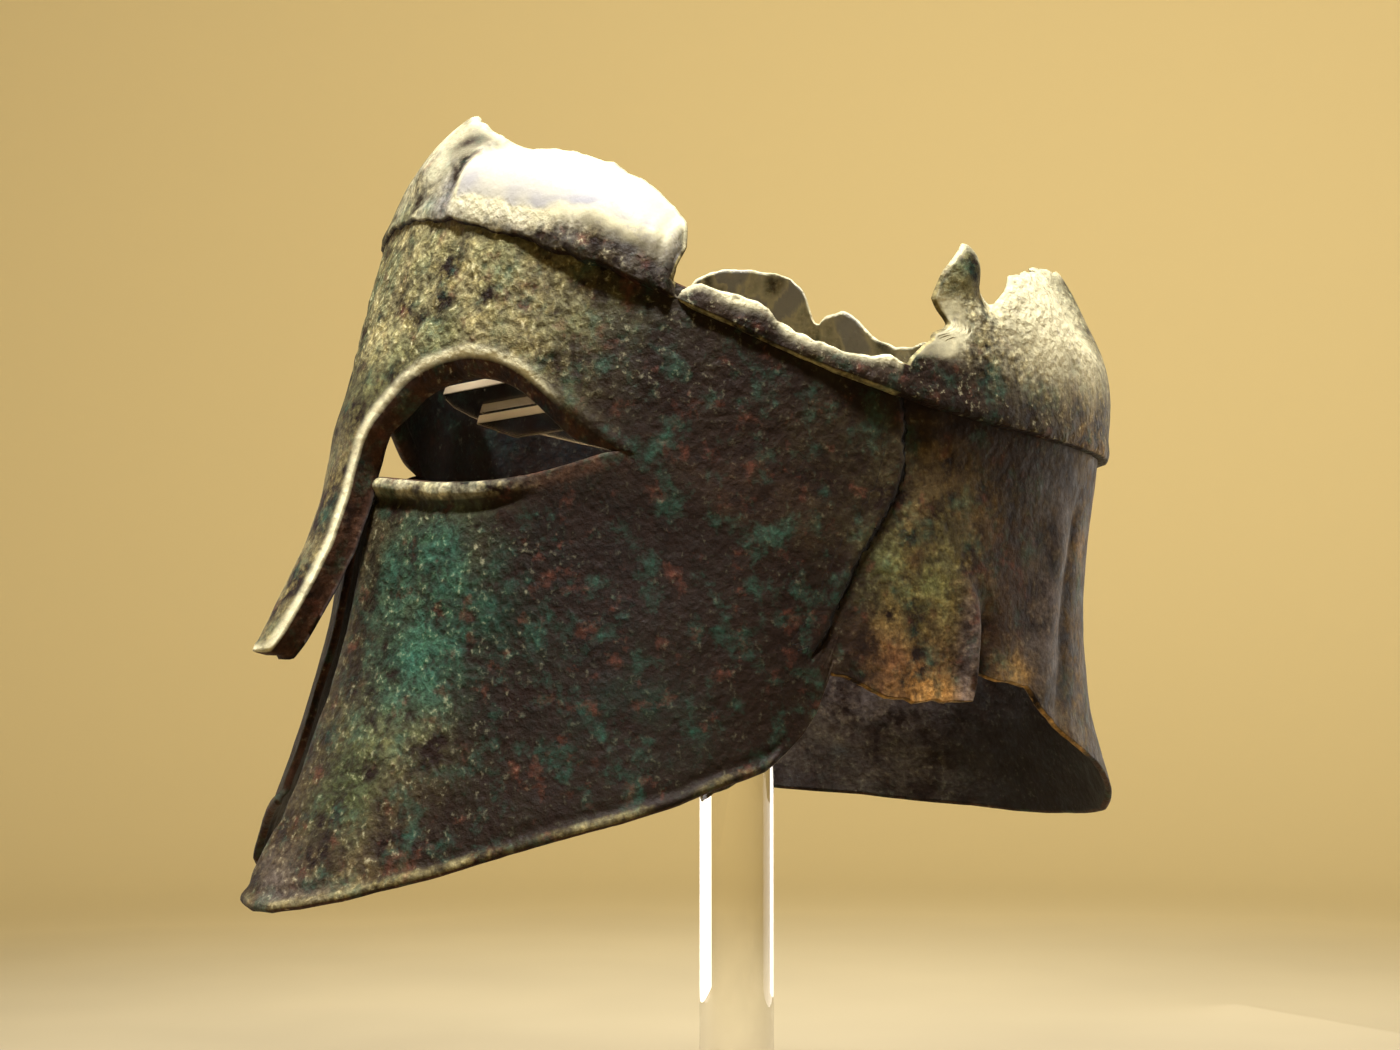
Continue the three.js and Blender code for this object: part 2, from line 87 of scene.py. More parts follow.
TOP_EDGE = np.array([
    (-180, 127), (-165, 124), (-152, 115), (-147, 113), (-143, 114.5), (-139, 118.5), (-136, 119.5),
    (-133, 117.5), (-131.5, 114.5), (-130, 115), (-129, 118), (-127, 122.5), (-124, 124.5), (-118, 124.5),
    (-112, 123), (-106, 120.5), (-103, 116), (-101, 108), (-97, 101), (-92, 97), (-80, 91), (-66, 88),
    (-52, 94), (-36, 100), (-20, 106), (-8, 110), (-4, 114), (-1, 115.5), (2, 115.5), (5, 113), (9, 109.5),
    (12.5, 107.5), (14, 106.3), (26, 106.3), (36, 103.5), (45, 98), (50, 94), (53.5, 89), (55, 80),
    (55.8, 70), (59, 72), (66, 72.5), (70.5, 72), (72, 69.5), (76, 67.8), (85, 67), (90, 68.5), (93, 71),
    (95, 70), (96, 91.5), (99, 99), (102.2, 108.6), (105, 106), (108, 101.5), (111, 96), (112.5, 97.5),
    (115, 103), (117, 108), (127, 115), (137, 120), (150, 126), (165, 129), (180, 127),
])
BOTTOM_EDGE = np.array([
    (-180, -19.5), (-164, -22), (-150, -27), (-139, -32.5), (-126, -36), (-112, -38), (-104, -36),
    (-99, -29), (-96.5, -12), (-94, -12), (-93, -35), (-90, -45), (-82, -54), (-70, -68), (-56, -81),
    (-41, -94.5), (-30, -103), (-24, -101), (-18, -92), (-10, -87), (0, -84), (1, -111), (3.5, -113.5),
    (7, -114.5), (12, -113.5), (18.5, -110.5), (26, -106), (32, -101.3), (41, -94.5), (56, -81), (70, -68),
    (77.5, -60), (82, -54), (87.5, -48), (90, -45), (92.5, -40), (95, -33), (96.5, -26), (97.2, -15),
    (101.5, -15.2), (108, -15.8), (113, -15.3), (118, -12.4), (121.8, -9), (122.8, -1), (134, 0),
    (138, -3.7), (144, -8), (153, -10.2), (162, -14), (170, -18.5), (180, -19.5),
])
EYE_ARCH = np.array([
    (6.4, 12), (7.4, 19), (9, 25), (12.1, 31.7), (15.5, 36.4), (20.5, 40.2), (25, 42), (29.6, 42.2),
    (33.2, 41), (36.8, 38.6), (42.2, 33.6), (46.3, 30), (50, 27.4), (54, 25),
])
EYE_LID = np.array([
    (3.8, 7.4), (13, 7), (21, 7.2), (28, 8.4), (33.2, 10.2), (38.3, 12.8), (43.1, 16.2), (47.7, 20),
    (51.5, 23.4), (54, 25),
])
CHEEK_FRONT = np.array([
    (-125, 4), (-112, 3.2), (-104, 2.4), (-93, 2.6), (-91.5, 3.4), (-88, 3.9), (-86.5, 3.0), (-80, 3.4),
    (-70, 3), (-60, 3), (-54, 4), (-46, 3.6), (-24, 3.4), (0, 3.4), (8, 3.8),
])
# The line that splits the crown's plates into a lower and an upper run.
CROWN_MIDDLE = np.array([
    (-180, 96), (-150, 92), (-130, 88), (-100, 80), (-60, 75), (-20, 88), (0, 91), (30, 84), (50, 76),
    (54.6, 71.5), (55.8, 70), (59, 72), (66, 72.5), (70.5, 72), (72, 69.5), (76, 67.8), (85, 67),
    (90, 68.5), (93, 71), (95, 70), (96, 70), (98.5, 73), (103.5, 78), (106.5, 84), (115, 88), (130, 91),
    (150, 95), (180, 96),
])
LONG_CRACK = np.array([
    (-14, 93.3), (-9, 93.7), (-7.4, 94.8), (4, 95.8), (10, 96.7), (16, 97.2), (19, 98), (28.6, 100),
    (37.7, 101.4), (44.8, 101.5), (51, 99.9), (54, 100), (62, 98), (72, 96),
])
PLEAT = np.array([(-6, 122), (-1, 121.4), (6, 121), (17, 120), (21.4, 117.8), (40, 116)])
EYE_CORNER = 54.0
EYE_CORNER_HEIGHT = 25.0
CHEEK_EDGE = 3.4  # half the slit between the cheek pieces before they are bitten and worn, degrees
PLATE_END = 54.6  # where the front plate breaks off, degrees
FLAP_EDGE = 96.0  # where the flap begins
# The slits in the leaf over the forehead; the third and widest is painted shadow in the notch by the leaf's curled
# tip.
# Each row has the middle angle, middle height, slope, half length and half width.
SLITS = ((10.5, 94.8, -0.6, 3.5, 1.0), (3.5, 83.5, 0.65, 3.5, 0.9), (8.5, 104.5, 0.5, 4.0, 3.5))
# Where the crown bends out or in towards its edge: angle, half width, the heights it grows over and its rise.
CROWN_BULGES = (
    (1, 10, 84, 96, 2.0), (103, 9, 92, 108, 5.0), (110, 5, 90, 100, -4.5), (140, 9, 98, 110, -6.0),
)


class Metal(Enum):
    """The colours of the helmet's crust and bare metal, as linear red, green and blue; the cream and the near
    white also serve for painted highlight.
    """

    OLIVE = (0.066, 0.052, 0.025)
    BROWN = (0.062, 0.028, 0.013)
    UMBER = (0.018, 0.009, 0.006)
    BLUE_BLACK = (0.007, 0.011, 0.014)
    GREY_BLACK = (0.023, 0.023, 0.024)
    EMERALD = (0.032, 0.135, 0.090)
    MOSS = (0.075, 0.110, 0.042)
    SAGE = (0.250, 0.260, 0.120)
    TAN = (0.420, 0.360, 0.175)
    CREAM = (0.760, 0.700, 0.450)
    # The near white is the dome's pale metal with the top light's glare painted in, as painted highlight.
    CHALK_HIGHLIGHT = (0.300, 0.295, 0.315)
    LILAC_GREY = (0.180, 0.140, 0.130)
    RUST = (0.170, 0.050, 0.028)
    RED_BROWN = (0.075, 0.034, 0.019)
    GOLD = (0.480, 0.280, 0.090)


@dataclass(frozen=True)
class Bloom:
    """A patch of one crust colour on the sheet, soft at its border; a few patches paint shade and a few paint
    highlight.

    Attributes:
        angle: its middle round the head, degrees.
        height: its middle's height, mm.
        wide: half its width, mm.
        tall: half its height, mm.
        metal: the colour.
        strength: how strongly it covers what is under it.
    """

    angle: float
    height: float
    wide: float
    tall: float
    metal: Metal
    strength: float


# The patches of crust, and two rows of painted shadow. Each row has the angle, height, half width, half height,
# colour and strength of one.
OUTER_BLOOMS = tuple(Bloom(*row) for row in (
    (24, -18, 16, 14, Metal.EMERALD, 4), (36, -26, 16, 16, Metal.EMERALD, 4),
    (26, -42, 14, 12, Metal.EMERALD, 4), (44, -30, 12, 12, Metal.EMERALD, 2),
    (66, -40, 16, 10, Metal.EMERALD, 2.5), (18, -80, 10, 14, Metal.MOSS, 4),
    (26, -62, 20, 8, Metal.SAGE, 1.6), (34, -84, 30, 12, Metal.OLIVE, 2), (22, -94, 26, 8, Metal.BROWN, 2),
    (12, -104, 16, 8, Metal.LILAC_GREY, 1.6), (24, -98, 24, 8, Metal.TAN, 0.7),
    (50, -8, 16, 14, Metal.BLUE_BLACK, 4), (60, 2, 26, 26, Metal.BLUE_BLACK, 3),
    (56, -34, 10, 20, Metal.BLUE_BLACK, 2.5), (44, -46, 12, 8, Metal.UMBER, 3),
    (60, 36, 16, 20, Metal.UMBER, 4), (70, 24, 22, 16, Metal.RED_BROWN, 2),
    (68, 52, 24, 14, Metal.UMBER, 5), (50, 50, 12, 16, Metal.BLUE_BLACK, 2.5),
    (80, 0, 18, 30, Metal.BROWN, 2.5), (86, 50, 14, 16, Metal.OLIVE, 2), (92, 20, 10, 30, Metal.OLIVE, 2),
    (88, -34, 8, 14, Metal.BROWN, 3), (100, -8, 16, 7, Metal.BROWN, 3), (116, -12, 8, 4, Metal.GOLD, 5),
    (108, 14, 14, 22, Metal.GOLD, 0.25), (107, 20, 12, 14, Metal.MOSS, 3),
    (110, -6, 12, 8, Metal.RUST, 0.6), (104, 42, 14, 14, Metal.OLIVE, 5), (132, 2, 5, 4, Metal.GOLD, 4),
    # The umber rows at 104 and 120 degrees are painted shadow under the crown's step at the back.
    (104, 64, 20, 7, Metal.UMBER, 7), (120, 62, 22, 6, Metal.UMBER, 6), (126, 28, 8, 24, Metal.BROWN, 4),
    (138, 22, 7, 30, Metal.LILAC_GREY, 5), (148, 30, 8, 40, Metal.GOLD, 2),
    (150, 20, 12, 50, Metal.OLIVE, 3), (20, 56, 40, 18, Metal.SAGE, 3.0), (8, 42, 16, 20, Metal.SAGE, 3.0),
    (34, 52, 16, 14, Metal.OLIVE, 3), (16, 70, 24, 8, Metal.SAGE, 2), (-10, 50, 30, 30, Metal.SAGE, 2),
    (0, -10, 9, 50, Metal.OLIVE, 3), (-40, -30, 40, 30, Metal.MOSS, 2), (-70, 10, 40, 40, Metal.BROWN, 2),
    (-110, 20, 40, 40, Metal.OLIVE, 2), (-30, -80, 30, 14, Metal.BROWN, 2),
    (180, 20, 50, 40, Metal.OLIVE, 2), (-150, 0, 30, 30, Metal.EMERALD, 1.5),
    (-120, -24, 40, 8, Metal.BROWN, 3),
))
# Patches of the crown's crust, with painted light among them. The near white rows over the front plate carry the
# top light's glare as painted highlight on paler metal, and the cream rows high at the back, from 114 to 140
# degrees, are pale crust with painted highlight. The umber rows at 75, 104 and 112 degrees, low on the crown by
# the step, are painted shadow, and the umber row at 9 degrees and 105 mm is painted shadow in the notch by the
# leaf's curled tip.
CROWN_BLOOMS = tuple(Bloom(*row) for row in (
    (34, 92, 38, 13, Metal.CHALK_HIGHLIGHT, 14), (14, 88, 10, 9, Metal.CHALK_HIGHLIGHT, 6), (50, 84, 8, 9, Metal.CHALK_HIGHLIGHT, 8),
    (44, 73, 20, 4, Metal.OLIVE, 12), (54, 72, 6, 5, Metal.UMBER, 10), (20, 79, 30, 3, Metal.CREAM, 6),
    (0, 98, 16, 22, Metal.CREAM, 8), (0, 84, 16, 8, Metal.SAGE, 8), (9, 105, 5, 4, Metal.UMBER, 26),
    (-30, 90, 30, 20, Metal.SAGE, 3), (114, 88, 18, 10, Metal.CREAM, 9), (118, 98, 14, 8, Metal.CREAM, 9),
    (104, 68, 14, 7, Metal.UMBER, 14), (112, 72, 16, 6, Metal.UMBER, 6), (128, 80, 16, 9, Metal.OLIVE, 5),
    (138, 76, 12, 12, Metal.GOLD, 2), (140, 104, 16, 14, Metal.CREAM, 5), (103, 101, 8, 10, Metal.SAGE, 6),
    (75, 68, 34, 6, Metal.UMBER, 12), (-90, 84, 50, 16, Metal.OLIVE, 3), (-150, 96, 40, 20, Metal.SAGE, 3),
    (170, 100, 30, 24, Metal.SAGE, 3),
))
# The cream rows high up are pale crust with painted highlight, on inner faces that the top light strikes.
INNER_BLOOMS = tuple(Bloom(*row) for row in (
    (-84, 84, 30, 10, Metal.CREAM, 9), (-112, 108, 34, 16, Metal.CREAM, 9),
    (-140, 104, 30, 16, Metal.CREAM, 6), (150, 108, 60, 14, Metal.CREAM, 3),
    (100, 84, 10, 18, Metal.CREAM, 5), (-130, 0, 40, 16, Metal.LILAC_GREY, 3),
    (-150, -14, 20, 10, Metal.OLIVE, 3), (-60, 20, 60, 44, Metal.BLUE_BLACK, 14),
    (0, 40, 90, 60, Metal.BLUE_BLACK, 14),
))


# ---- shape helpers ----

def smooth_table(rows: Array, column: int, height: Array) -> Array:
    """Reads one column of a table along a smooth curve.

    Between two rows the value is a cubic whose slope at each row is the slope between that row's neighbours.

    Args:
        rows: the table, with heights rising in its first column.
        column: the column to read.
        height: the heights to read at.

    Returns:
        The values at those heights.
    """
    z, value = rows[:, 0], rows[:, column]
    h = np.clip(height, z[0], z[-1])
    i = np.clip(np.searchsorted(z, h, side="right") - 1, 0, len(z) - 2)
    before, after = np.maximum(i - 1, 0), np.minimum(i + 2, len(z) - 1)
    step = z[i + 1] - z[i]
    t = (h - z[i]) / step
    slope_a = (value[i + 1] - value[before]) / (z[i + 1] - z[before]) * step
    slope_b = (value[after] - value[i]) / (z[after] - z[i]) * step
    blend = t * t * (3 - 2 * t)
    return value[i] * (1 - blend) + value[i + 1] * blend + t * (1 - t) * ((1 - t) * slope_a - t * slope_b)


def read(table: Array, place: Array) -> Array:
    """Reads a table's second column at places along its first one, by straight lines."""
    return np.interp(place, table[:, 0], table[:, 1])


def smoothstep(low: float, high: float, value: Array) -> Array:
    """Rises from 0 at low to 1 at high, level at both ends."""
    t = np.clip((value - low) / (high - low), 0, 1)
    return t * t * (3 - 2 * t)


def between(value: Array, rise: tuple[float, float], fall: tuple[float, float]) -> Array:
    """Rises from 0 to 1 over one stretch and falls back over another, each given from its 0 end."""
    return smoothstep(*rise, value) * smoothstep(*fall, value)


def hill(value: Array, width: float) -> Array:
    """A round hill: 1 at 0, and nearly nothing past twice its width."""
    return np.exp(-np.square(value / width))


def lattice(ix: Array, iy: Array, iz: Array, seed: int) -> Array:
    """A fixed number for each whole-number place, mixed from its parts and the seed.

    Args:
        ix: the places' first parts.
        iy: their second parts.
        iz: their third parts.
        seed: picks one pattern.

    Returns:
        Numbers between -1 and 1.
    """
    mixed = (ix * 374761393 + iy * 668265263 + iz * 1440662683 + seed * 1274126177) & 0xFFFFFFFF
    mixed = ((mixed ^ (mixed >> 13)) * 1274126177) & 0xFFFFFFFF
    return ((mixed ^ (mixed >> 16)) & 0xFFFFFF) / 0x7FFFFF - 1.0


def lumps(places: Array, size: float, seed: int, octaves: int = 3) -> Array:
    """Smooth random lumps in space, between about -1 and 1.

    Each octave blends the fixed numbers at the eight corners of the cell round a place, at half the size of the
    octave before it and with half its height.

    Args:
        places: points, mm, shaped (count, 3).
        size: width of the largest lumps, mm.
        seed: picks one pattern.
        octaves: how many sizes are added up.

    Returns:
        One value for each point.
    """
    total = np.zeros(len(places))
    for octave in range(octaves):
        scaled = places / (size / 2 ** octave) + 17.3 * octave
        cell = np.floor(scaled).astype(np.int64)
        part = scaled - cell
        part = part * part * (3 - 2 * part)
        value = np.zeros(len(places))
        for corner in range(8):
            offset = np.array([corner & 1, corner >> 1 & 1, corner >> 2 & 1])
            weight = np.prod(np.where(offset, part, 1 - part), axis=1)
            x, y, z = (cell + offset).T
            value += weight * lattice(x, y, z, seed + octave)
        total += value / 2 ** octave
    return total / (2 - 0.5 ** (octaves - 1))


def round_place(angle: Array, height: Array) -> Array:
    """A point on a plain drum of the helmet's size, for patterns that must close round the head."""
    turn = angle * DEGREE
    return np.stack([DRUM * np.sin(turn), -DRUM * np.cos(turn), height], axis=-1)


def ragged(angle: Array, height: Array, size: float, seed: int) -> Array:
    """A ragged line's offset, between about -1 and 1, by its place along the edge."""
    return lumps(round_place(angle, height), size, seed, 3)


def carination(angle: Array) -> Array:
    """Height of the step that runs round the head under the crown: high at the front and back."""
    return 71 + 9 * np.cos(2 * angle * DEGREE)


def wall_radius(angle: Array, height: Array, over_eyes: Array) -> Array:
    """Radius of the wall from the upright line.

    Each section is two halves of a round-cornered oval, one to the front and one to the back. Over the eyes
    the brow stands further out, by a hill round the nose. Under the brow the upper sheet is the nasal, whose
    radius is its side edge's and a low ridge along its middle.

    Args:
        angle: degrees round the head.
        height: mm.
        over_eyes: 1 on the forehead, nasal and crown, and 0 on the cheek pieces and neck.

    Returns:
        The radius, mm.
    """
    turn = angle * DEGREE
    front = np.cos(turn) > 0
    brow = over_eyes * smooth_table(BROW, 1, height) * (height < 60) * hill(angle, BROW_SPREAD)
    ahead, behind, half, front_power, back_power = (smooth_table(SECTIONS, k, height) for k in range(1, 6))
    reach = np.where(front, AXIS_Y - ahead + brow, behind - AXIS_Y)
    power = np.where(front, front_power, back_power)
    oval = (np.abs(np.sin(turn)) / half) ** power + (np.abs(np.cos(turn)) / reach) ** power
    radius = oval ** (-1 / power)
    nasal = over_eyes * smoothstep(24, 10, height) * (np.abs(angle) < 14)
    across = np.clip(np.abs(angle) / read(NASAL_HALF, height), 0, 1)
    side = read(NASAL_SIDE, height)
    ridge = over_eyes * smoothstep(60, 20, height) * 2.2 * (1 - across ** 2) * (np.abs(angle) < 12)
    return radius * (1 - nasal) + side * nasal + ridge


def to_model(points: Array) -> Array:
    """Turns points of the helmet's upright frame, mm, into the model's frame, m.

    Each point is turned nose down about the x axis by the tilt, and lifted and moved into place.

    Args:
        points: points of the upright frame, mm.

    Returns:
        The same points in the model's frame, m.
    """
    x, y, z = points.T
    ahead = y * np.cos(TILT) + z * np.sin(TILT) + HELMET_AHEAD
    up = z * np.cos(TILT) - y * np.sin(TILT) + HELMET_LIFT
    return np.stack([x, ahead, up], axis=1) * 0.001


def smooth_line(points: Array, spacing: float) -> Array:
    """Evenly spaced points on a smooth curve through some points.

    Between two points the curve is a cubic with the slope between its neighbours at each end.

    Args:
        points: the points, one to a row, whose first two columns are angle and height.
        spacing: distance between the new points, mm.

    Returns:
        The new points, with the same columns.
    """
    count = len(points)
    t = np.linspace(0, count - 1, 40 * count)
    i = np.clip(t.astype(int), 0, count - 2)
    u = (t - i)[:, None]
    before, after = points[np.maximum(i - 1, 0)], points[np.minimum(i + 2, count - 1)]
    a, b = points[i], points[i + 1]
    fine = (1 - u) ** 2 * (1 + 2 * u) * a + u ** 2 * (3 - 2 * u) * b
    fine += u * (1 - u) ** 2 * (b - before) / 2 - u ** 2 * (1 - u) * (after - a) / 2
    steps = np.hypot(np.diff(fine[:, 0]) * SPREAD, np.diff(fine[:, 1]))
    along = np.concatenate([[0], np.cumsum(steps)])
    wanted = np.linspace(0, along[-1], max(2, round(along[-1] / spacing)))
    return np.stack([np.interp(wanted, along, fine[:, k]) for k in range(points.shape[1])], axis=1)


# ---- meshes ----

def smooth_object(name: str, points: Array, faces: Array, material: Material) -> Object:
    """Makes a smooth object from arrays.

    Args:
        name: the object's name.
        points: corners in the model's frame, m.
        faces: corner numbers, three or four to a row.
        material: the finish.

    Returns:
        The new object.
    """
    mesh = bpy.data.meshes.new(name)
    mesh.from_pydata(points, [], faces.tolist())
    mesh.shade_smooth()
    mesh.materials.append(material)
    thing = bpy.data.objects.new(name, mesh)
    bpy.context.collection.objects.link(thing)
    return thing


def make_mesh(name: str, points: Array, faces: Array, material: Material) -> Object:
    """Makes a smooth piece that rides on the one body.

    Args:
        name: the piece's name.
        points: corners in the model's frame, m.
        faces: corner numbers, three to a row.
        material: the finish.

    Returns:
        The new object.
    """
    piece = smooth_object(name, points, faces, material)
    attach(piece, "root")
    LOG.info("%s: %d faces", name, len(faces))
    return piece


def paint(piece: Object, name: str, values: Array) -> None:
    """Stores a number or a colour at every corner of a piece, for its material to read.

    Args:
        piece: the piece.
        name: what the material calls it.
        values: one number for each corner, or one row of red, green and blue.
    """
    kind = "FLOAT" if values.ndim == 1 else "FLOAT_COLOR"
    layer = piece.data.attributes.new(name, kind, "POINT")
    if values.ndim == 1:
        layer.data.foreach_set("value", values.astype(np.float32))
        return
    filled = np.concatenate([values, np.ones((len(values), 1))], axis=1)
    layer.data.foreach_set("color", filled.astype(np.float32).ravel())


def grid_faces(rows: int, columns: int) -> Array:
    """Faces of a grid of points, each going right, up and back left."""
    first = (np.arange(rows - 1)[:, None] * columns + np.arange(columns - 1)[None, :]).ravel()
    return np.stack([first, first + 1, first + columns + 1, first + columns], axis=1)


def close_at_ends(count: int, share: float) -> Array:
    """Numbers from 0 to 1 that lie closer at both ends: an even row less a share of one sine wave."""
    t = np.linspace(0, 1, count)
    return t - share * np.sin(2 * np.pi * t) / (2 * np.pi)


@dataclass
class Run:
    """A grid of places on the sheet between a lower and an upper line with equally many points.

    Attributes:
        lower: angle and height of each point of the lower line, angles rising.
        upper: the same for the upper line.
        steps: where the rows lie, from 0 at the lower line to 1 at the upper one.
        over_eyes: whether the run belongs to the forehead, nasal and crown.
    """

    lower: Array
    upper: Array
    steps: Array
    over_eyes: bool

    @classmethod
    def between(cls, angle: Array, low: Array, high: Array, steps: Array, over_eyes: bool = True) -> Run:
        """A run whose two lines have their points at the same angles, at two rows of heights."""
        return cls(np.stack([angle, low], axis=1), np.stack([angle, high], axis=1), steps, over_eyes)

    def places(self) -> Array:
        """Angle and height of every grid point, row by row."""
        t = self.steps[:, None, None]
        return (self.lower[None] * (1 - t) + self.upper[None] * t).reshape(-1, 2)

    def faces(self) -> Array:
        """The run's faces."""
        return grid_faces(len(self.steps), len(self.lower))


@dataclass
class SheetPlan:
    """Runs joined where their points meet, as places and triangles.

    Attributes:
        places: angle and height of each joined point.
        over_eyes: 1 for points of the forehead, nasal and crown.
        triangles: corner numbers, facing outward.
    """

    places: Array
    over_eyes: Array
    triangles: Array

    @classmethod
    def join(cls, runs: list[Run]) -> SheetPlan:
        """Joins runs, taking points less than a hundredth apart as one and dropping faces without area.

        Args:
            runs: the runs.

        Returns:
            The joined plan.
        """
        sizes = [len(run.lower) * len(run.steps) for run in runs]
        offsets = np.cumsum([0] + sizes)
        places = np.concatenate([run.places() for run in runs])
        over = np.repeat([float(run.over_eyes) for run in runs], sizes)
        quads = np.concatenate([run.faces() + start for run, start in zip(runs, offsets)])
        key = np.round(np.stack([np.mod(places[:, 0], 360), places[:, 1]], axis=1) / 0.01).astype(np.int64)
        _, first, number = np.unique(key, axis=0, return_index=True, return_inverse=True)
        triangles = np.concatenate([quads[:, [0, 1, 2]], quads[:, [0, 2, 3]]])
        triangles = number.ravel()[triangles]
        a, b, c = triangles.T
        return cls(places[first], over[first], triangles[(a != b) & (b != c) & (c != a)])

    def border(self) -> Array:
        """The border's edges, each with the sheet on its left.

        Returns:
            Two point numbers for each edge.
        """
        edges = np.concatenate([self.triangles[:, pair] for pair in ([0, 1], [1, 2], [2, 0])])
        size = len(self.places)
        code = edges[:, 0] * size + edges[:, 1]
        return edges[~np.isin(code, edges[:, 1] * size + edges[:, 0])]


@dataclass
class Sheet:
    """A closed piece of sheet metal: an outer skin, an inner skin and a rounded rim between them.

    Attributes:
        plan: where the sheet runs.
        radius: the outer skin's radius at each point, mm.
        depth: the sheet's thickness at each point, mm.
        lean: how far the rim's back edge stands out past the front one, mm.
        softness: how far the rim bulges, as a share of its thickness.
        rim_rows: where the rim's rows lie, as shares of the depth.
    """

    plan: SheetPlan
    radius: Array
    depth: Array
    lean: Array
    softness: float = 0.3
    rim_rows: tuple[float, ...] = (0.12, 0.5, 0.88)

    def build(self) -> tuple[Array, Array, Array, Array]:
        """Makes the closed mesh.

        The outer skin lies at the radius and the inner skin at the radius less the depth. Each rim row lies at
        a share of the depth, and is pushed out past the border by a half sine wave's bulge and by the lean.

        Returns:
            Points in the upright frame (mm), triangles, the plan point of each mesh point, and how deep it lies
            in the sheet, from 0 on the outer skin to 1 on the inner one.
        """
        angle, height = self.plan.places.T
        turn = angle * DEGREE
        radial = np.stack([np.sin(turn), -np.cos(turn), np.zeros_like(turn)], axis=1)
        aside = np.stack([np.cos(turn), np.sin(turn), np.zeros_like(turn)], axis=1)
        foot = np.stack([np.zeros_like(turn), np.full_like(turn, AXIS_Y), height], axis=1)
        outer = foot + radial * self.radius[:, None]
        edges = self.plan.border()
        across = np.zeros((len(angle), 2))
        along = outer[edges[:, 1]] - outer[edges[:, 0]]
        flat = np.stack([(along * aside[edges[:, 0]]).sum(1), along[:, 2]], axis=1)
        away = np.stack([flat[:, 1], -flat[:, 0]], axis=1)
        np.add.at(across, edges[:, 0], away)
        np.add.at(across, edges[:, 1], away)
        across /= np.maximum(np.linalg.norm(across, axis=1, keepdims=True), 1e-6)
        ring = np.unique(edges)
        rank = np.zeros(len(angle), dtype=np.int64)
        rank[ring] = np.arange(len(ring))
        out_of_sheet = aside[ring] * across[ring, :1]
        out_of_sheet[:, 2] = across[ring, 1]
        size = len(angle)
        levels = [np.arange(size)]
        points = [outer, outer - radial * self.depth[:, None]]
        origin, deep = [np.arange(size)] * 2, [np.zeros(size), np.ones(size)]
        for share in self.rim_rows:
            depth = self.depth[ring] * share
            bulge = self.softness * np.minimum(self.depth[ring], 3.0) * np.sin(np.pi * share)
            push = bulge + self.lean[ring] * np.sin(share * np.pi / 1.76)
            level = np.zeros(size, dtype=np.int64)
            level[ring] = sum(len(block) for block in points) + np.arange(len(ring))
            levels.append(level)
            points.append(outer[ring] - radial[ring] * depth[:, None] + out_of_sheet * push[:, None])
            origin.append(ring)
            deep.append(np.full(len(ring), share))
        levels.append(np.arange(size) + size)
        faces = [self.plan.triangles, self.plan.triangles[:, ::-1] + size]
        a, b = edges.T
        for here, below in zip(levels[:-1], levels[1:]):
            faces.append(np.stack([here[b], here[a], below[a]], axis=1))
            faces.append(np.stack([here[b], below[a], below[b]], axis=1))
        return np.concatenate(points), np.concatenate(faces), np.concatenate(origin), np.concatenate(deep)


# ---- finishes ----

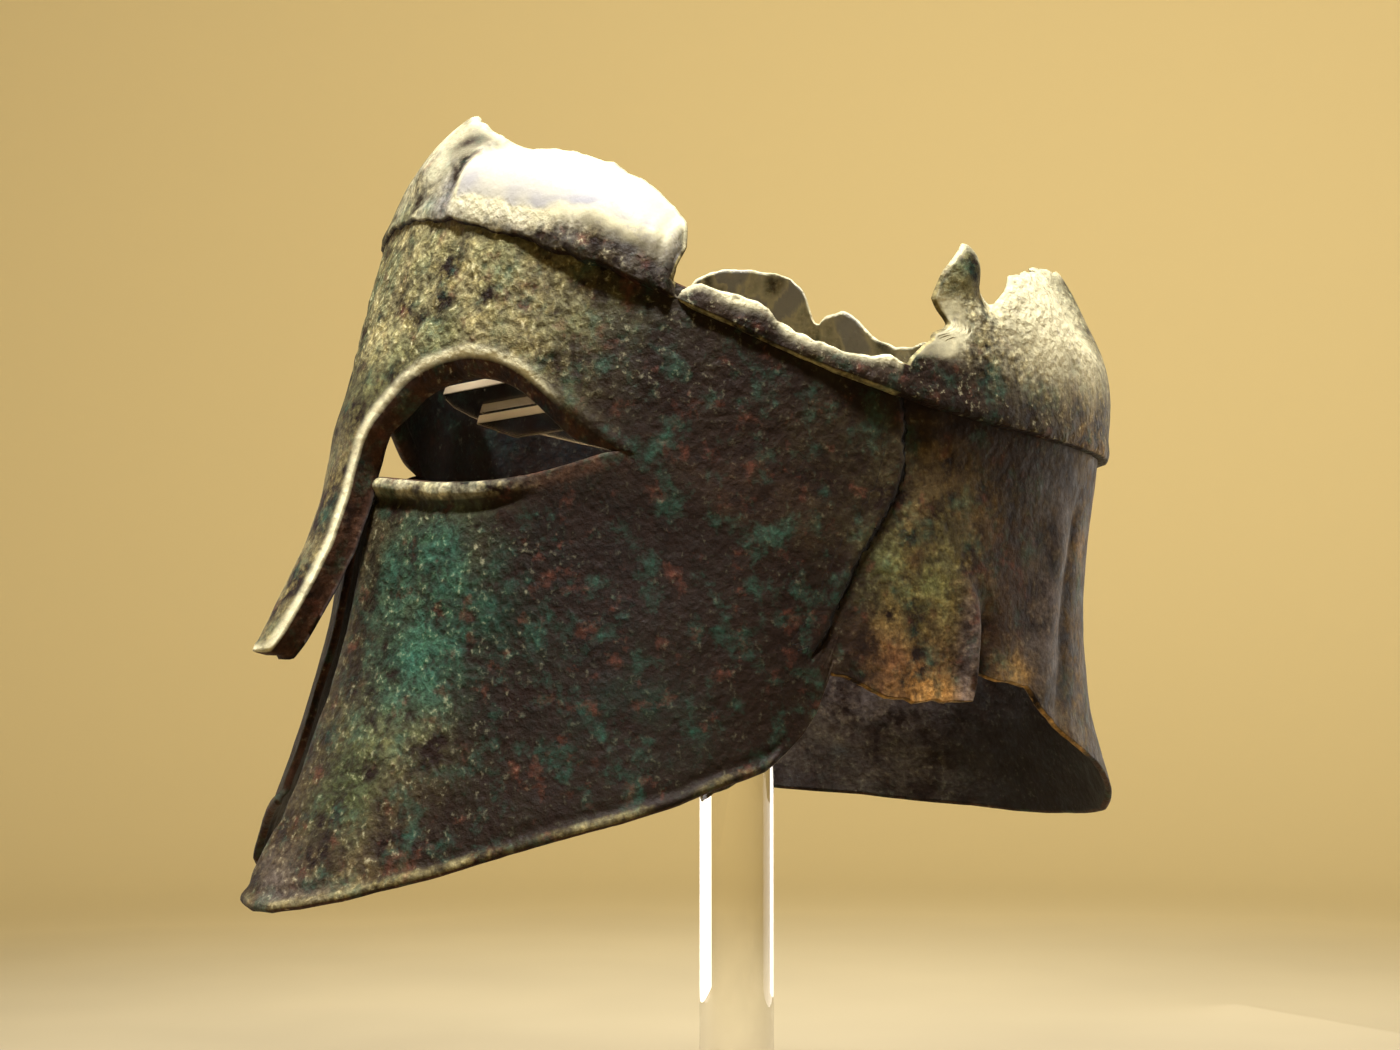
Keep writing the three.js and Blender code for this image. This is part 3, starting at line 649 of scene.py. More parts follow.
class Bench:
    """Builds one material's nodes, one short call for each node."""

    def __init__(self, name: str) -> None:
        """Starts an empty material with a principled shader.

        Args:
            name: the material's name.
        """
        self.material = bpy.data.materials.new(name)
        self.material.use_nodes = True
        self.tree = self.material.node_tree
        self.tree.nodes.clear()
        self.shader = self.node("BsdfPrincipled")
        self.node("OutputMaterial", Surface=self.shader.outputs[0])
        self.place = self.node("TexCoord").outputs["Object"]

    def link(self, source: object, target: Socket) -> None:
        """Joins a socket to another, or sets a plain value on it.

        Args:
            source: a socket, or a plain value.
            target: the input it goes to.
        """
        if isinstance(source, Socket):
            self.tree.links.new(source, target)
        else:
            target.default_value = source

    def fill(self, node: bpy.types.Node, **inputs: object) -> None:
        """Sets or joins a node's inputs, with an underscore for each space in a name."""
        for name, value in inputs.items():
            self.link(value, node.inputs[name.replace("_", " ")])

    def node(self, kind: str, **inputs: object) -> bpy.types.Node:
        """Adds a node and fills its inputs.

        Args:
            kind: the node's type, without the word that all shader nodes share.
            **inputs: what to set or join.

        Returns:
            The node.
        """
        node = self.tree.nodes.new("ShaderNode" + kind)
        self.fill(node, **inputs)
        return node

    def set(self, **inputs: object) -> None:
        """Fills the shader's inputs."""
        self.fill(self.shader, **inputs)

    def attribute(self, name: str, colour: bool = False) -> Socket:
        """Reads a painted number, or a painted colour.

        Args:
            name: what it was painted as.
            colour: whether it is a colour.

        Returns:
            Its socket.
        """
        node = self.node("Attribute")
        node.attribute_name = name
        return node.outputs["Color" if colour else "Fac"]

    def stretched(self, scale: Colour) -> Socket:
        """The piece's own coordinates, stretched along each axis."""
        return self.node("Mapping", Scale=scale, Vector=self.place).outputs[0]

    def noise(self, scale: float, detail: float, rough: float = 0.6, place: Socket | None = None) -> Socket:
        """Soft noise with features of 1/scale metres.

        Args:
            scale: its fineness, per metre.
            detail: how many finer sizes are added.
            rough: how strong the finer sizes are.
            place: where it is read, if not on the plain coordinates.

        Returns:
            The socket of its value, from 0 to 1.
        """
        vector = place or self.place
        node = self.node("TexNoise", Scale=scale, Detail=detail, Roughness=rough, Vector=vector)
        return node.outputs["Fac"]

    def cells(self, scale: float) -> Socket:
        """Distance to the middle of the nearest random cell, for grains and pits."""
        return self.node("TexVoronoi", Scale=scale, Vector=self.place).outputs["Distance"]

    def facing(self, direction: Colour) -> Socket:
        """How far the surface faces one fixed direction of the model, from -1 to 1.

        Args:
            direction: the direction.

        Returns:
            The socket of its cosine.
        """
        product = self.node("VectorMath")
        product.operation = "DOT_PRODUCT"
        self.link(self.node("NewGeometry").outputs["Normal"], product.inputs[0])
        product.inputs[1].default_value = direction
        return product.outputs["Value"]

    def ramp(self, source: Socket, low: float, high: float, start: float = 0.0, end: float = 1.0) -> Socket:
        """Maps low..high onto start..end and holds the ends."""
        node = self.node("MapRange", From_Min=low, From_Max=high, To_Min=start, To_Max=end, Value=source)
        return node.outputs["Result"]

    def calc(self, kind: str, a: object, b: object = 0.0) -> Socket:
        """One sum on numbers.

        Args:
            kind: the sum's kind.
            a: the first number.
            b: the second number.

        Returns:
            The result's socket.
        """
        node = self.node("Math")
        node.operation = kind
        self.link(a, node.inputs[0])
        self.link(b, node.inputs[1])
        return node.outputs[0]

    def times(self, a: object, b: object) -> Socket:
        """The product of two numbers."""
        return self.calc("MULTIPLY", a, b)

    def mix(self, share: object, a: object, b: object, blend: str = "MIX") -> Socket:
        """Mixes two colours.

        Args:
            share: how much of the second colour.
            a: the first colour.
            b: the second colour.
            blend: how the second goes over the first.

        Returns:
            The mixed colour's socket.
        """
        node = self.node("Mix")
        node.data_type = "RGBA"
        node.blend_type = blend
        self.link(share, node.inputs[0])
        for value, socket in ((a, node.inputs[6]), (b, node.inputs[7])):
            self.link((*value, 1.0) if isinstance(value, tuple) else value, socket)
        return node.outputs[2]

    def bump(self, height: Socket, distance: float, strength: object, under: Socket | None) -> Socket:
        """Relief of a given height in metres, on top of another relief if there is one.

        Args:
            height: the height, from 0 to 1.
            distance: what a height of 1 stands for, m.
            strength: how much of it shows.
            under: the relief it lies on.

        Returns:
            The relief's socket.
        """
        node = self.node("Bump", Distance=distance, Strength=strength, Height=height)
        if under is not None:
            self.link(under, node.inputs["Normal"])
        return node.outputs[0]


@dataclass(frozen=True)
class CorrodedBronze:
    """Bronze under a crust: painted zones of colour, among them painted shade and painted highlight, broken up by
    grains, pits, spots and rubbed high points that are partly painted glints.

    Attributes:
        grain: fineness of the crust's grains, per metre.
        speck: fineness of its specks.
        cloud: fineness of its soft clouds.
        green: fineness of the stray green spots.
        red: fineness of the stray red spots.
        crack: colour in the cracks.
    """

    grain: float = 620.0
    speck: float = 260.0
    cloud: float = 90.0
    green: float = 105.0
    red: float = 140.0
    crack: Colour = (0.008, 0.006, 0.005)

    def material(self) -> Material:
        """Makes the finish.

        Returns:
            The material.
        """
        bench = Bench("corroded_bronze")
        crust = bench.attribute("crust")
        cloud = bench.noise(self.cloud, 6, 0.62)
        speck = bench.noise(self.speck, 5)
        grain = bench.noise(self.grain, 5)
        colour = self.crust_colour(bench, crust, cloud, speck, grain)
        colour = self.rubbed(bench, crust, speck, grain, colour)
        waver = bench.ramp(speck, 0.3, 0.7, -1.1, 1.1)
        off_line = bench.calc("ABSOLUTE", bench.calc("ADD", bench.attribute("crack"), waver))
        line = bench.ramp(off_line, 0.35, 0.9, 1, 0)
        bench.set(
            Base_Color=bench.mix(line, colour, self.crack),
            Normal=self.relief(bench, crust, cloud, grain, line),
            Metallic=0.05, Specular_IOR_Level=0.12,
            Roughness=bench.ramp(speck, 0.3, 0.7, 0.50, 0.78),
        )
        return bench.material

    def crust_colour(self, bench: Bench, crust: Socket, cloud: Socket, speck: Socket, grain: Socket) -> Socket:
        """The painted zones with dark clouds, bright specks, stray green and red spots, dark runs and grains.

        Args:
            bench: the material's nodes.
            crust: how thick the crust is.
            cloud: the soft clouds.
            speck: the specks.
            grain: the grains.

        Returns:
            The colour's socket.
        """
        zone = bench.attribute("patina", colour=True)
        umber = Metal.UMBER.value
        dark = bench.mix(bench.ramp(cloud, 0.38, 0.60), tuple(0.5 * part for part in umber), zone)
        bright = bench.mix(1.0, zone, (1.6, 1.5, 1.2), "MULTIPLY")
        colour = bench.mix(bench.ramp(speck, 0.47, 0.66, 0, 0.55), dark, bright)
        coat = bench.ramp(crust, 0.15, 0.24, 0.1, 1.0)
        green = bench.ramp(bench.noise(self.green, 6, 0.68), 0.52, 0.70, 0, 0.5)
        colour = bench.mix(bench.times(coat, green), colour, Metal.EMERALD.value)
        red = bench.ramp(bench.noise(self.red, 5, 0.65), 0.58, 0.72, 0, 0.55)
        colour = bench.mix(bench.times(coat, red), colour, Metal.RUST.value)
        streak = bench.noise(1.0, 4, 0.6, bench.stretched((360, 360, 70)))
        run = bench.times(bench.ramp(streak, 0.35, 0.70, 0.0, 0.35), bench.ramp(crust, 0.3, 0.7, 1.0, 0.1))
        colour = bench.mix(run, colour, umber)
        return bench.mix(bench.ramp(grain, 0.30, 0.62, 0.75, 0.0), colour, umber)

    def rubbed(self, bench: Bench, crust: Socket, speck: Socket, grain: Socket, colour: Socket) -> Socket:
        """The crust's colour with pale rubbed high points that are partly painted glints, pale bare metal with
        painted highlight where it is painted, and worn edges with painted highlight along the eyes.

        Args:
            bench: the material's nodes.
            crust: how thick the crust is.
            speck: the specks.
            grain: the grains.
            colour: the colour under it.

        Returns:
            The colour's socket.
        """
        # Rubbed high points, partly painted glints: the grain's peaks turn cream, more where the crust is thick.
        high = bench.times(bench.ramp(grain, 0.56, 0.70), bench.ramp(speck, 0.45, 0.6))
        shine = bench.times(high, bench.ramp(crust, 0.3, 1.0, 0.07, 0.75))
        colour = bench.mix(shine, colour, Metal.CREAM.value)
        # Painted highlight over pale bare metal: cream, turning to near white in specks and where it is strongest.
        bare = bench.attribute("chalk_highlight")
        cool = bench.calc("MAXIMUM", bench.ramp(speck, 0.55, 0.8), bench.ramp(bare, 0.84, 1.0))
        colour = bench.mix(bare, colour, bench.mix(cool, Metal.CREAM.value, Metal.CHALK_HIGHLIGHT.value))
        # Worn edges, with painted highlight along the eyes' upper edges: cream where painted.
        edge = bench.times(bench.attribute("worn"), bench.ramp(speck, 0.3, 0.5, 0.5, 1.0))
        return bench.mix(edge, colour, Metal.CREAM.value)

    def relief(self, bench: Bench, crust: Socket, cloud: Socket, grain: Socket, line: Socket) -> Socket:
        """Clouds, blisters, grains and pits, deeper where the crust is thick, and the crack's groove on top.

        Args:
            bench: the material's nodes.
            crust: how thick the crust is.
            cloud: the soft clouds.
            grain: the grains.
            line: where the cracks are.

        Returns:
            The relief's socket.
        """
        pits = bench.cells(self.grain * 0.75)
        blisters = bench.cells(self.speck * 1.1)
        relief = None
        for height, distance, least, most in (
            (cloud, 0.0020, 0.2, 0.9), (blisters, -0.0008, 0.0, 0.9),
            (grain, 0.0009, 0.2, 0.9), (pits, 0.0005, 0.1, 0.8),
        ):
            relief = bench.bump(height, distance, bench.ramp(crust, 0, 1, least, most), relief)
        return bench.bump(bench.times(line, -1.0), 0.001, 1.0, relief)


@dataclass(frozen=True)
class ClearAcrylic:
    """Polished clear acrylic with a faint warm tint and a few fine rubs.

    Attributes:
        name: the material's name.
        tint: the colour of the light it lets through.
        sawn: whether its edges are sawn and only half polished, so that they glow with scattered light.
        edge: the colour of a sawn edge.
        bend: its refractive index.
        body: how much of it is seen at all: less than 1 lets light through to what it stands on.
    """

    name: str = "clear_acrylic"
    tint: Colour = (0.97, 0.95, 0.90)
    sawn: bool = False
    edge: Colour = (0.80, 0.64, 0.42)
    bend: float = 1.49
    body: float = 1.0

    def material(self) -> Material:
        """Makes the finish.

        Returns:
            The material.
        """
        bench = Bench(self.name)
        rub = bench.noise(1.0, 3, 0.5, bench.stretched((400, 400, 12)))
        bench.set(
            Base_Color=(*self.tint, 1.0), IOR=self.bend, Transmission_Weight=1.0, Alpha=self.body,
            Roughness=bench.ramp(rub, 0.5, 0.9, 0.0, 0.02),
        )
        if self.sawn:
            across = bench.facing((0.0, float(np.sin(TILT)), float(np.cos(TILT))))
            side = bench.ramp(bench.calc("ABSOLUTE", across), 0.92, 0.6)
            bench.set(
                Base_Color=bench.mix(side, self.tint, self.edge),
                Transmission_Weight=bench.ramp(side, 0, 1, 1.0, 0.25),
            )
        return bench.material


@dataclass(frozen=True)
class PaleRoom:
    """Matt paint of the floor and the wall round it.

    Attributes:
        wall: the wall's colour.
        floor: the floor's colour round the stand, darker as painted shade against the pool of the lamp above.
    """

    wall: Colour = (0.80, 0.68, 0.42)
    floor: Colour = (0.27, 0.222, 0.135)

    def material(self) -> Material:
        """Makes the finish: a darker floor tone round the stand, painted shade that evens out the pool of the lamp
        above, turning into the paler wall tone further out.

        Returns:
            The material.
        """
        bench = Bench("room_paint")
        out = bench.node("VectorMath")
        out.operation = "LENGTH"
        bench.link(bench.stretched((1.0, 1.0, 0.0)), out.inputs[0])
        waver = bench.ramp(bench.noise(3, 3, 0.55), 0.3, 0.7, -0.05, 0.05)
        # Painted shade: darker round the stand, where the lamp above makes a pool of light.
        share = bench.ramp(bench.calc("ADD", out.outputs["Value"], waver), 0.2, 0.75)
        bench.set(Base_Color=bench.mix(share, self.floor, self.wall), Roughness=0.9)
        return bench.material


# ---- the helmet ----

def bloom_colours(blooms: tuple[Bloom, ...], ground: Metal, angle: Array, height: Array, seed: int) -> Array:
    """Mixes the patches over a ground colour, each weighed by its hill and by lumps that break its border.

    Args:
        blooms: the patches.
        ground: the colour between them.
        angle: degrees round the head of each point.
        height: heights, mm.
        seed: picks the pattern of lumps.

    Returns:
        Red, green and blue for each point.
    """
    place = round_place(angle, height)
    total = np.ones(len(angle))
    colour = np.tile(np.array(ground.value), (len(angle), 1))
    for number, bloom in enumerate(blooms):
        off = (np.mod(angle - bloom.angle + 180, 360) - 180) * SPREAD / bloom.wide
        near = np.exp(-(off ** 2 + ((height - bloom.height) / bloom.tall) ** 2))
        weight = bloom.strength * near * np.clip(0.8 + 1.4 * lumps(place, 9, seed + number, 3), 0.05, None)
        total += weight
        colour += weight[:, None] * np.array(bloom.metal.value)
    return colour / total[:, None]


def border_distance(places: Array, line: Array) -> Array:
    """Distance from each place to the nearest point of a line.

    Args:
        places: angle and height of each place.
        line: angle and height of each of the line's points.

    Returns:
        The distances, mm.
    """
    a = places * np.array([SPREAD, 1.0])
    b = line * np.array([SPREAD, 1.0])
    return np.sqrt(((a[:, None, :] - b[None, :, :]) ** 2).sum(2).min(1))


def covered(colour: Array, share: Array, metal: Metal) -> Array:
    """Covers a share of each point's colour with one of the helmet's colours."""
    return colour * (1 - share[:, None]) + share[:, None] * np.array(metal.value)


def skin_colour(origin: Array, deep: Array, outer: Array, inner: Array, rim: Array) -> Array:
    """Each mesh point's colour: the outer skin's, the inner skin's or the rim's, by how deep it lies."""
    share = deep[:, None]
    return np.where(share <= 0, outer[origin], np.where(share >= 1, inner[origin], rim[origin]))


class WallZones:
    """How each point of the walls lies to the helmet's features.

    Attributes:
        angle: degrees round the head.
        height: its height, mm.
        away: its angle from the front, either way.
        upper: whether it belongs to the forehead, nasal and upper wall.
        eye_gap: distance from the eyes' upper edges and the nasal's outline, mm.
        lid_gap: depth under the eyes' lower edges, mm.
        low_gap: height over the lower edge, mm.
        plain: the radius of the wall without its features, mm.
        place: where the lumps are read, mm.
        crack: distance behind the long crack, mm.
        crack_on: whether the crack reaches it.
        pleat: distance behind the pleat, mm.
        pleat_rise: the share of the pleat's full height there.
        forehead: how far it belongs to the forehead, from 0 to 1.
        nasal: how far it belongs to the nasal.
        beaded: how far it belongs to the beaded front part of the cheek pieces' upper edge.
    """

    def __init__(self, plan: SheetPlan, eye: Array) -> None:
        """Measures a plan's points, given the line of the eyes' upper edges and the nasal.

        Args:
            plan: where the walls run.
            eye: angle and height of the line's points.
        """
        self.angle, self.height = angle, height = plan.places.T
        self.away = away = np.abs(angle)
        self.upper = plan.over_eyes > 0.5
        front = away < 70
        gap = np.full(len(angle), FAR)
        gap[front] = border_distance(plan.places[front], eye)
        self.eye_gap = np.where(self.upper, gap, FAR)
        lid = read(EYE_LID, np.clip(away, EYE_LID[0, 0], EYE_CORNER))
        self.lid_gap = np.where(self.upper | (away > 60), FAR, lid - height)
        self.low_gap = height - read(BOTTOM_EDGE, angle)
        self.plain = wall_radius(angle, height, plan.over_eyes)
        self.place = round_place(angle, height) * (self.plain / DRUM)[:, None]
        self.crack = (angle - read(LONG_CRACK, height)) * SPREAD
        self.crack_on = (height > -12) & (height < 74) & (np.abs(self.crack) < 8)
        self.pleat = (angle - read(PLEAT, height)) * SPREAD
        self.pleat_rise = smoothstep(26, 8, height) * (angle > 90)
        self.forehead = self.upper * hill(angle - 6, 46) * smoothstep(30, 48, height)
        self.nasal = self.upper * smoothstep(26, 10, height) * (away < 12)
        self.beaded = smoothstep(43, 33, away)


@dataclass
class HelmetWalls:
    """Forehead, nasal, cheek pieces and neck guard: one sheet below the crown's step.

    Attributes:
        column: spacing of the points round the near half, degrees.
        far_columns: number of points round the far half.
        spacing: distance between the points along the eyes, mm.
        cheek_rows: rows from the lower edge to the lower lid.
        brow_rows: rows from the upper lid to the crown's step.
        sheet: thickness of the plain metal, mm.
        brow_edge: thickness along the eyes and of the nasal, mm.
    """

    column: float = 0.72
    far_columns: int = 128
    spacing: float = 1.15
    cheek_rows: int = 53
    brow_rows: int = 38
    sheet: float = 2.2
    brow_edge: float = 7.2

    def bottom(self, angle: Array) -> Array:
        """The lower edge: worn smooth on the cheeks and ragged where the near neck guard is broken off."""
        rough = 0.15 + 1.1 * between(angle, (96.8, 98), (152, 140))
        return read(BOTTOM_EDGE, angle) + rough * ragged(angle, np.zeros_like(angle), 4.0, 11)

    def eye_line(self) -> Array:
        """The eyes' upper edges and the nasal's outline as one line, with each point's place on the step above.

        Returns:
            Angle, height and angle on the step of each point, from the right to the left corner.
        """
        half = np.array([
            (0, -47.6, 0), (1.4, -47.4, 0.7), (2.5, -46.6, 1.3), (3.3, -44.5, 1.7),
            (3.9, -41, 2.1), (4.9, -30, 2.8), (5.8, -14, 3.7), (6.0, 0, 4.5),
        ])
        arch = np.column_stack([EYE_ARCH, np.interp(EYE_ARCH[:, 0], [6.4, EYE_CORNER], [5.4, EYE_CORNER])])
        left = smooth_line(np.concatenate([half, arch]), self.spacing)
        left[-1] = (EYE_CORNER, EYE_CORNER_HEIGHT, EYE_CORNER)
        left[0] = half[0]
        right = left[:0:-1] * np.array([-1, 1, -1])
        return np.concatenate([right, left])

    def runs(self) -> list[Run]:
        """The five runs: two cheek pieces, the sides and back below and above the eyes' corners, and the forehead.

        Returns:
            The runs.
        """
        low = close_at_ends(self.cheek_rows, 0.62)
        high = np.linspace(0, 1, self.brow_rows) ** 1.4
        lid = smooth_line(EYE_LID, self.spacing)
        lid[-1] = (EYE_CORNER, EYE_CORNER_HEIGHT)
        left_angle = np.interp(lid[:, 0], [EYE_LID[0, 0], EYE_CORNER], [3.2, EYE_CORNER])
        left_low = np.stack([left_angle, self.bottom(left_angle)], axis=1)
        right_low = np.stack([-left_angle[::-1], self.bottom(-left_angle[::-1])], axis=1)
        near = np.arange(EYE_CORNER, 180, self.column)
        far = np.linspace(180, 360 - EYE_CORNER, self.far_columns)
        angle = np.concatenate([near, far])
        back_bottom = self.bottom(np.mod(angle + 180, 360) - 180)
        corner = np.full_like(angle, EYE_CORNER_HEIGHT)
        eye = self.eye_line()
        forehead_top = np.stack([eye[:, 2], carination(eye[:, 2]) + OVERLAP], axis=1)
        return [
            Run(left_low, lid, low, False),
            Run(right_low, lid[::-1] * np.array([-1, 1]), low, False),
            Run.between(angle, back_bottom, corner, low, False),
            Run.between(angle, corner, carination(angle) + OVERLAP, high),
            Run(eye[:, :2], forehead_top, high, True),
        ]

    def plan(self) -> SheetPlan:
        """The joined runs, with the cheek pieces' front edges bitten and worn.

        Returns:
            The plan.
        """
        plan = SheetPlan.join(self.runs())
        angle, height = plan.places.T
        plan.places[:, 0] = angle = np.mod(angle + 180, 360) - 180
        away = np.abs(angle)
        bite = read(CHEEK_FRONT, height) - CHEEK_EDGE
        bite += 0.25 * ragged(np.zeros_like(height), height, 5.0, 23)
        shift = (1 - plan.over_eyes) * bite * hill(np.maximum(away - CHEEK_EDGE, 0), 3.0) * (height < 7)
        plan.places[:, 0] = angle + np.sign(angle) * shift
        return plan

    def build(self, finish: Material) -> Object:
        """Makes the walls and paints their zones.

        Args:
            finish: the bronze.

        Returns:
            The piece.
        """
        plan = self.plan()
        zones = WallZones(plan, self.eye_line()[:, :2])
        sheet = Sheet(plan, self.radius(zones), self.depth(zones), self.lean(zones))
        points, faces, origin, deep = sheet.build()
        piece = make_mesh("helmet_walls", to_model(points), faces, finish)
        outer = self.outer_colour(zones)
        inner = bloom_colours(INNER_BLOOMS, Metal.GREY_BLACK, zones.angle, zones.height, 301)
        broken = (zones.angle > 97) & (zones.angle < 150) & (zones.low_gap < 6)
        rim = np.where(broken[:, None], Metal.GOLD.value, Metal.RED_BROWN.value)
        paint(piece, "patina", skin_colour(origin, deep, outer, inner, rim))
        # Along the eyes' upper edges and the nasal's outline the outer skin is paled: worn edge with painted
        # highlight where the edge catches the top light.
        bright = hill(zones.eye_gap - 0.6, 1.2) * smoothstep(44, 36, zones.away)
        paint(piece, "worn", np.where(deep <= 0, bright[origin], 0.0))
        paint(piece, "crust", self.crust(zones)[origin] * np.where(deep >= 1, 0.6, 1.0))
        crack = np.where(zones.crack_on, zones.crack, NO_CRACK)
        paint(piece, "crack", crack[origin] + np.where(deep >= 1, NO_CRACK, 0.0))
        paint(piece, "chalk_highlight", np.zeros(len(points)))
        return piece

    def radius(self, zones: WallZones) -> Array:
        """The outer skin's radius: the plain wall with its dents, beads, crack, pleat and folds, mm.

        Args:
            zones: how the points lie to the features.

        Returns:
            One radius for each point.
        """
        angle, height, place = zones.angle, zones.height, zones.place
        radius = zones.plain + 0.9 * lumps(place, 46, 3, 2) + 0.30 * lumps(place, 9, 5, 3)
        crust = 0.9 * lumps(place, 7, 7, 3) + 0.5 * np.clip(lumps(place, 4, 9, 2), 0, None)
        radius += zones.forehead * crust
        radius += 0.5 * hill(zones.eye_gap - 1.6, 1.6)
        # The lower eye edge has a round bead with a groove under it.
        bead = np.sqrt(np.clip(1 - ((zones.lid_gap - 2.2) / 2.6) ** 2, 0, 1))
        radius += 2.2 * zones.beaded * bead * (1 + 0.2 * lumps(place, 2.4, 31, 1))
        radius -= 0.8 * zones.beaded * hill(zones.lid_gap - 6.0, 1.4)
        # The cheek pieces' lower edge has a low lip with a groove over it.
        lip = 0.7 * hill(zones.low_gap - 1.2, 1.5) - 0.4 * hill(zones.low_gap - 4.5, 1.5)
        radius += lip * (zones.away < 92)
        # Behind the long crack the metal has sunk, and before it the metal is lifted.
        sunk = np.where(zones.crack > 0, np.exp(-np.clip(zones.crack, 0, 30) / 7), 0)
        radius += (0.5 * hill(zones.crack + 2.5, 2.0) - 1.1 * sunk) * zones.crack_on
        # The pleat is a fold, sharper at its foot, with a furrow behind it.
        fold = hill(zones.pleat, 2.8 - 1.0 * smoothstep(10, -6, height))
        radius += zones.pleat_rise * (3.6 * fold - 2.2 * hill(zones.pleat - 6, 3.2))
        # Near the back there is one more ridge with a wavering furrow beside it.
        ridge = hill((angle - 137) * SPREAD, 5) * smoothstep(60, 40, height) * smoothstep(-10, 6, height)
        furrow = hill((angle - 142.5) * SPREAD + 1.5 * lumps(place, 14, 41, 2), 2.2)
        return radius + 1.6 * ridge - 1.4 * furrow * smoothstep(66, 50, height)

    def depth(self, zones: WallZones) -> Array:
        """The sheet's thickness: plain metal that swells along the eyes and in the nasal, mm.

        Args:
            zones: how the points lie to the features.

        Returns:
            One thickness for each point.
        """
        along_eye = hill(zones.eye_gap, 4.0) * smoothstep(56, 44, zones.away)
        depth = self.sheet + (self.brow_edge - self.sheet) * along_eye
        depth = depth * (1 - zones.nasal) + (self.brow_edge + 0.6) * zones.nasal
        return depth + 1.6 * hill(zones.lid_gap, 3.0) * zones.beaded + 0.3 * lumps(zones.place, 12, 51, 2)

    def lean(self, zones: WallZones) -> Array:
        """How far the rim's back edge stands out: past the eyes' upper edges, and drawn in along the nasal, mm.

        Args:
            zones: how the points lie to the features.

        Returns:
            One lean for each point.
        """
        out = 4.6 * smoothstep(14, 30, zones.height) * smoothstep(55, 44, zones.away)
        drawn_in = 1.2 * smoothstep(20, 6, zones.height) * (zones.away < 12)
        return np.where(zones.upper, out - drawn_in, 0.0)

    def crust(self, zones: WallZones) -> Array:
        """How thick the crust is, from 0 to 1: thick on the forehead, thinner on the cheek, thin near the back.

        Args:
            zones: how the points lie to the features.

        Returns:
            One number for each point.
        """
        cheek = hill(zones.angle - 22, 24) * (zones.height < 0) * ~zones.upper
        crust = 0.25 + 0.75 * zones.forehead + 0.35 * cheek
        return np.clip(crust * (1 - 0.7 * hill((zones.angle - 138) * SPREAD, 10)), 0, 1)

    def outer_colour(self, zones: WallZones) -> Array:
        """The outer skin's colours: the patches, painted shade on the cheek and side, and the pale worn parts over
        them, save the cream on the bead's top, which is painted highlight.

        Args:
            zones: how the points lie to the features.

        Returns:
            Red, green and blue for each point.
        """
        angle, height, away, place = zones.angle, zones.height, zones.away, zones.place
        colour = bloom_colours(OUTER_BLOOMS, Metal.OLIVE, angle, height, 101)
        # Painted shade darkens the cheek and the side.
        cheek = between(angle, (26, 44), (106, 92)) * smoothstep(30, 8, height)
        side = between(angle, (44, 56), (104, 90))
        colour = colour * (1 - np.maximum(0.82 * cheek, 0.52 * side)[:, None])
        panel = between(angle, (100, 106), (126, 118)) * smoothstep(66, 50, height)
        colour = colour * (1 + panel[:, None] * np.array([1.1, 0.85, 0.65]))
        scoured = smoothstep(50, 34, away) * smoothstep(-0.6, 0.5, lumps(place, 9, 59, 4))
        upright = place * np.array([1.0, 1.0, 0.25])
        ticks = np.clip(0.62 + 0.9 * lumps(upright, 3.2, 33, 3), 0.1, 1)
        lid_end = smoothstep(33, 40, away) * smoothstep(5.5, 3.0, zones.lid_gap) * (away < 56)
        lip = smoothstep(3.2, 1.6, zones.low_gap) * (away < 90) * np.clip(0.5 + lumps(place, 12, 57, 2), 0, 1)
        for share, metal in (
            (0.85 * zones.forehead * scoured, Metal.TAN),
            (0.6 * zones.nasal, Metal.TAN),
            # Painted highlight: cream on the top of the lower eye edge's bead, where the top light falls, in short
            # upright ticks.
            (zones.beaded * smoothstep(4.6, 3.6, zones.lid_gap) * ticks, Metal.CREAM),
            (0.7 * lid_end, Metal.RED_BROWN),
            (0.8 * lip, Metal.TAN),
            (0.85 * zones.pleat_rise * hill(zones.pleat + 1.2, 2.6), Metal.LILAC_GREY),
        ):
            colour = covered(colour, share, metal)
        return colour


class CrownZones:
    """How each point of the crown lies to its features.

    Attributes:
        angle: degrees round the head.
        height: its height, mm.
        rise: height over the step, mm.
        top_gap: depth under the broken upper edge, mm.
        plain: the radius of the wall under it, carried up, mm.
        place: where the lumps are read, mm.
        front_plate: how far it belongs to the piece of the dome at the front left, from 0 to 1.
        leaf: how far it belongs to the leaf over the forehead.
        strip: how far it belongs to the low strip on the near side.
        flap_face: how far it belongs to the flap's bare face.
        slit: how far it lies in one of the leaf's slits, the widest of which is painted shadow in the notch by the
            leaf's tip.
    """

    def __init__(self, plan: SheetPlan, flap_face: Array, top: Array, plain: Array) -> None:
        """Measures a plan's points, given each one's share of the flap's face, upper edge and plain radius.

        Args:
            plan: where the crown runs.
            flap_face: the shares of the flap's face.
            top: heights of the broken edge, mm.
            plain: the plain radii, mm.
        """
        self.angle, self.height = angle, height = plan.places.T
        self.rise = height - carination(angle)
        self.top_gap = top - height
        self.plain = plain
        self.place = round_place(angle, height) * (plain / DRUM)[:, None]
        self.front_plate = between(angle, (12, 16), (60, 50))
        self.leaf = between(angle, (-14, -2), (16, 12))
        self.strip = between(angle, (54, 57), (97, 94))
        self.flap_face = flap_face
        slit = np.zeros_like(angle)
        for middle, level, slope, length, width in SLITS:
            along = (angle - middle) * SPREAD
            slit += hill(along, length) * hill(height - level - slope * along, width)
        self.slit = np.clip(slit, 0, 1)


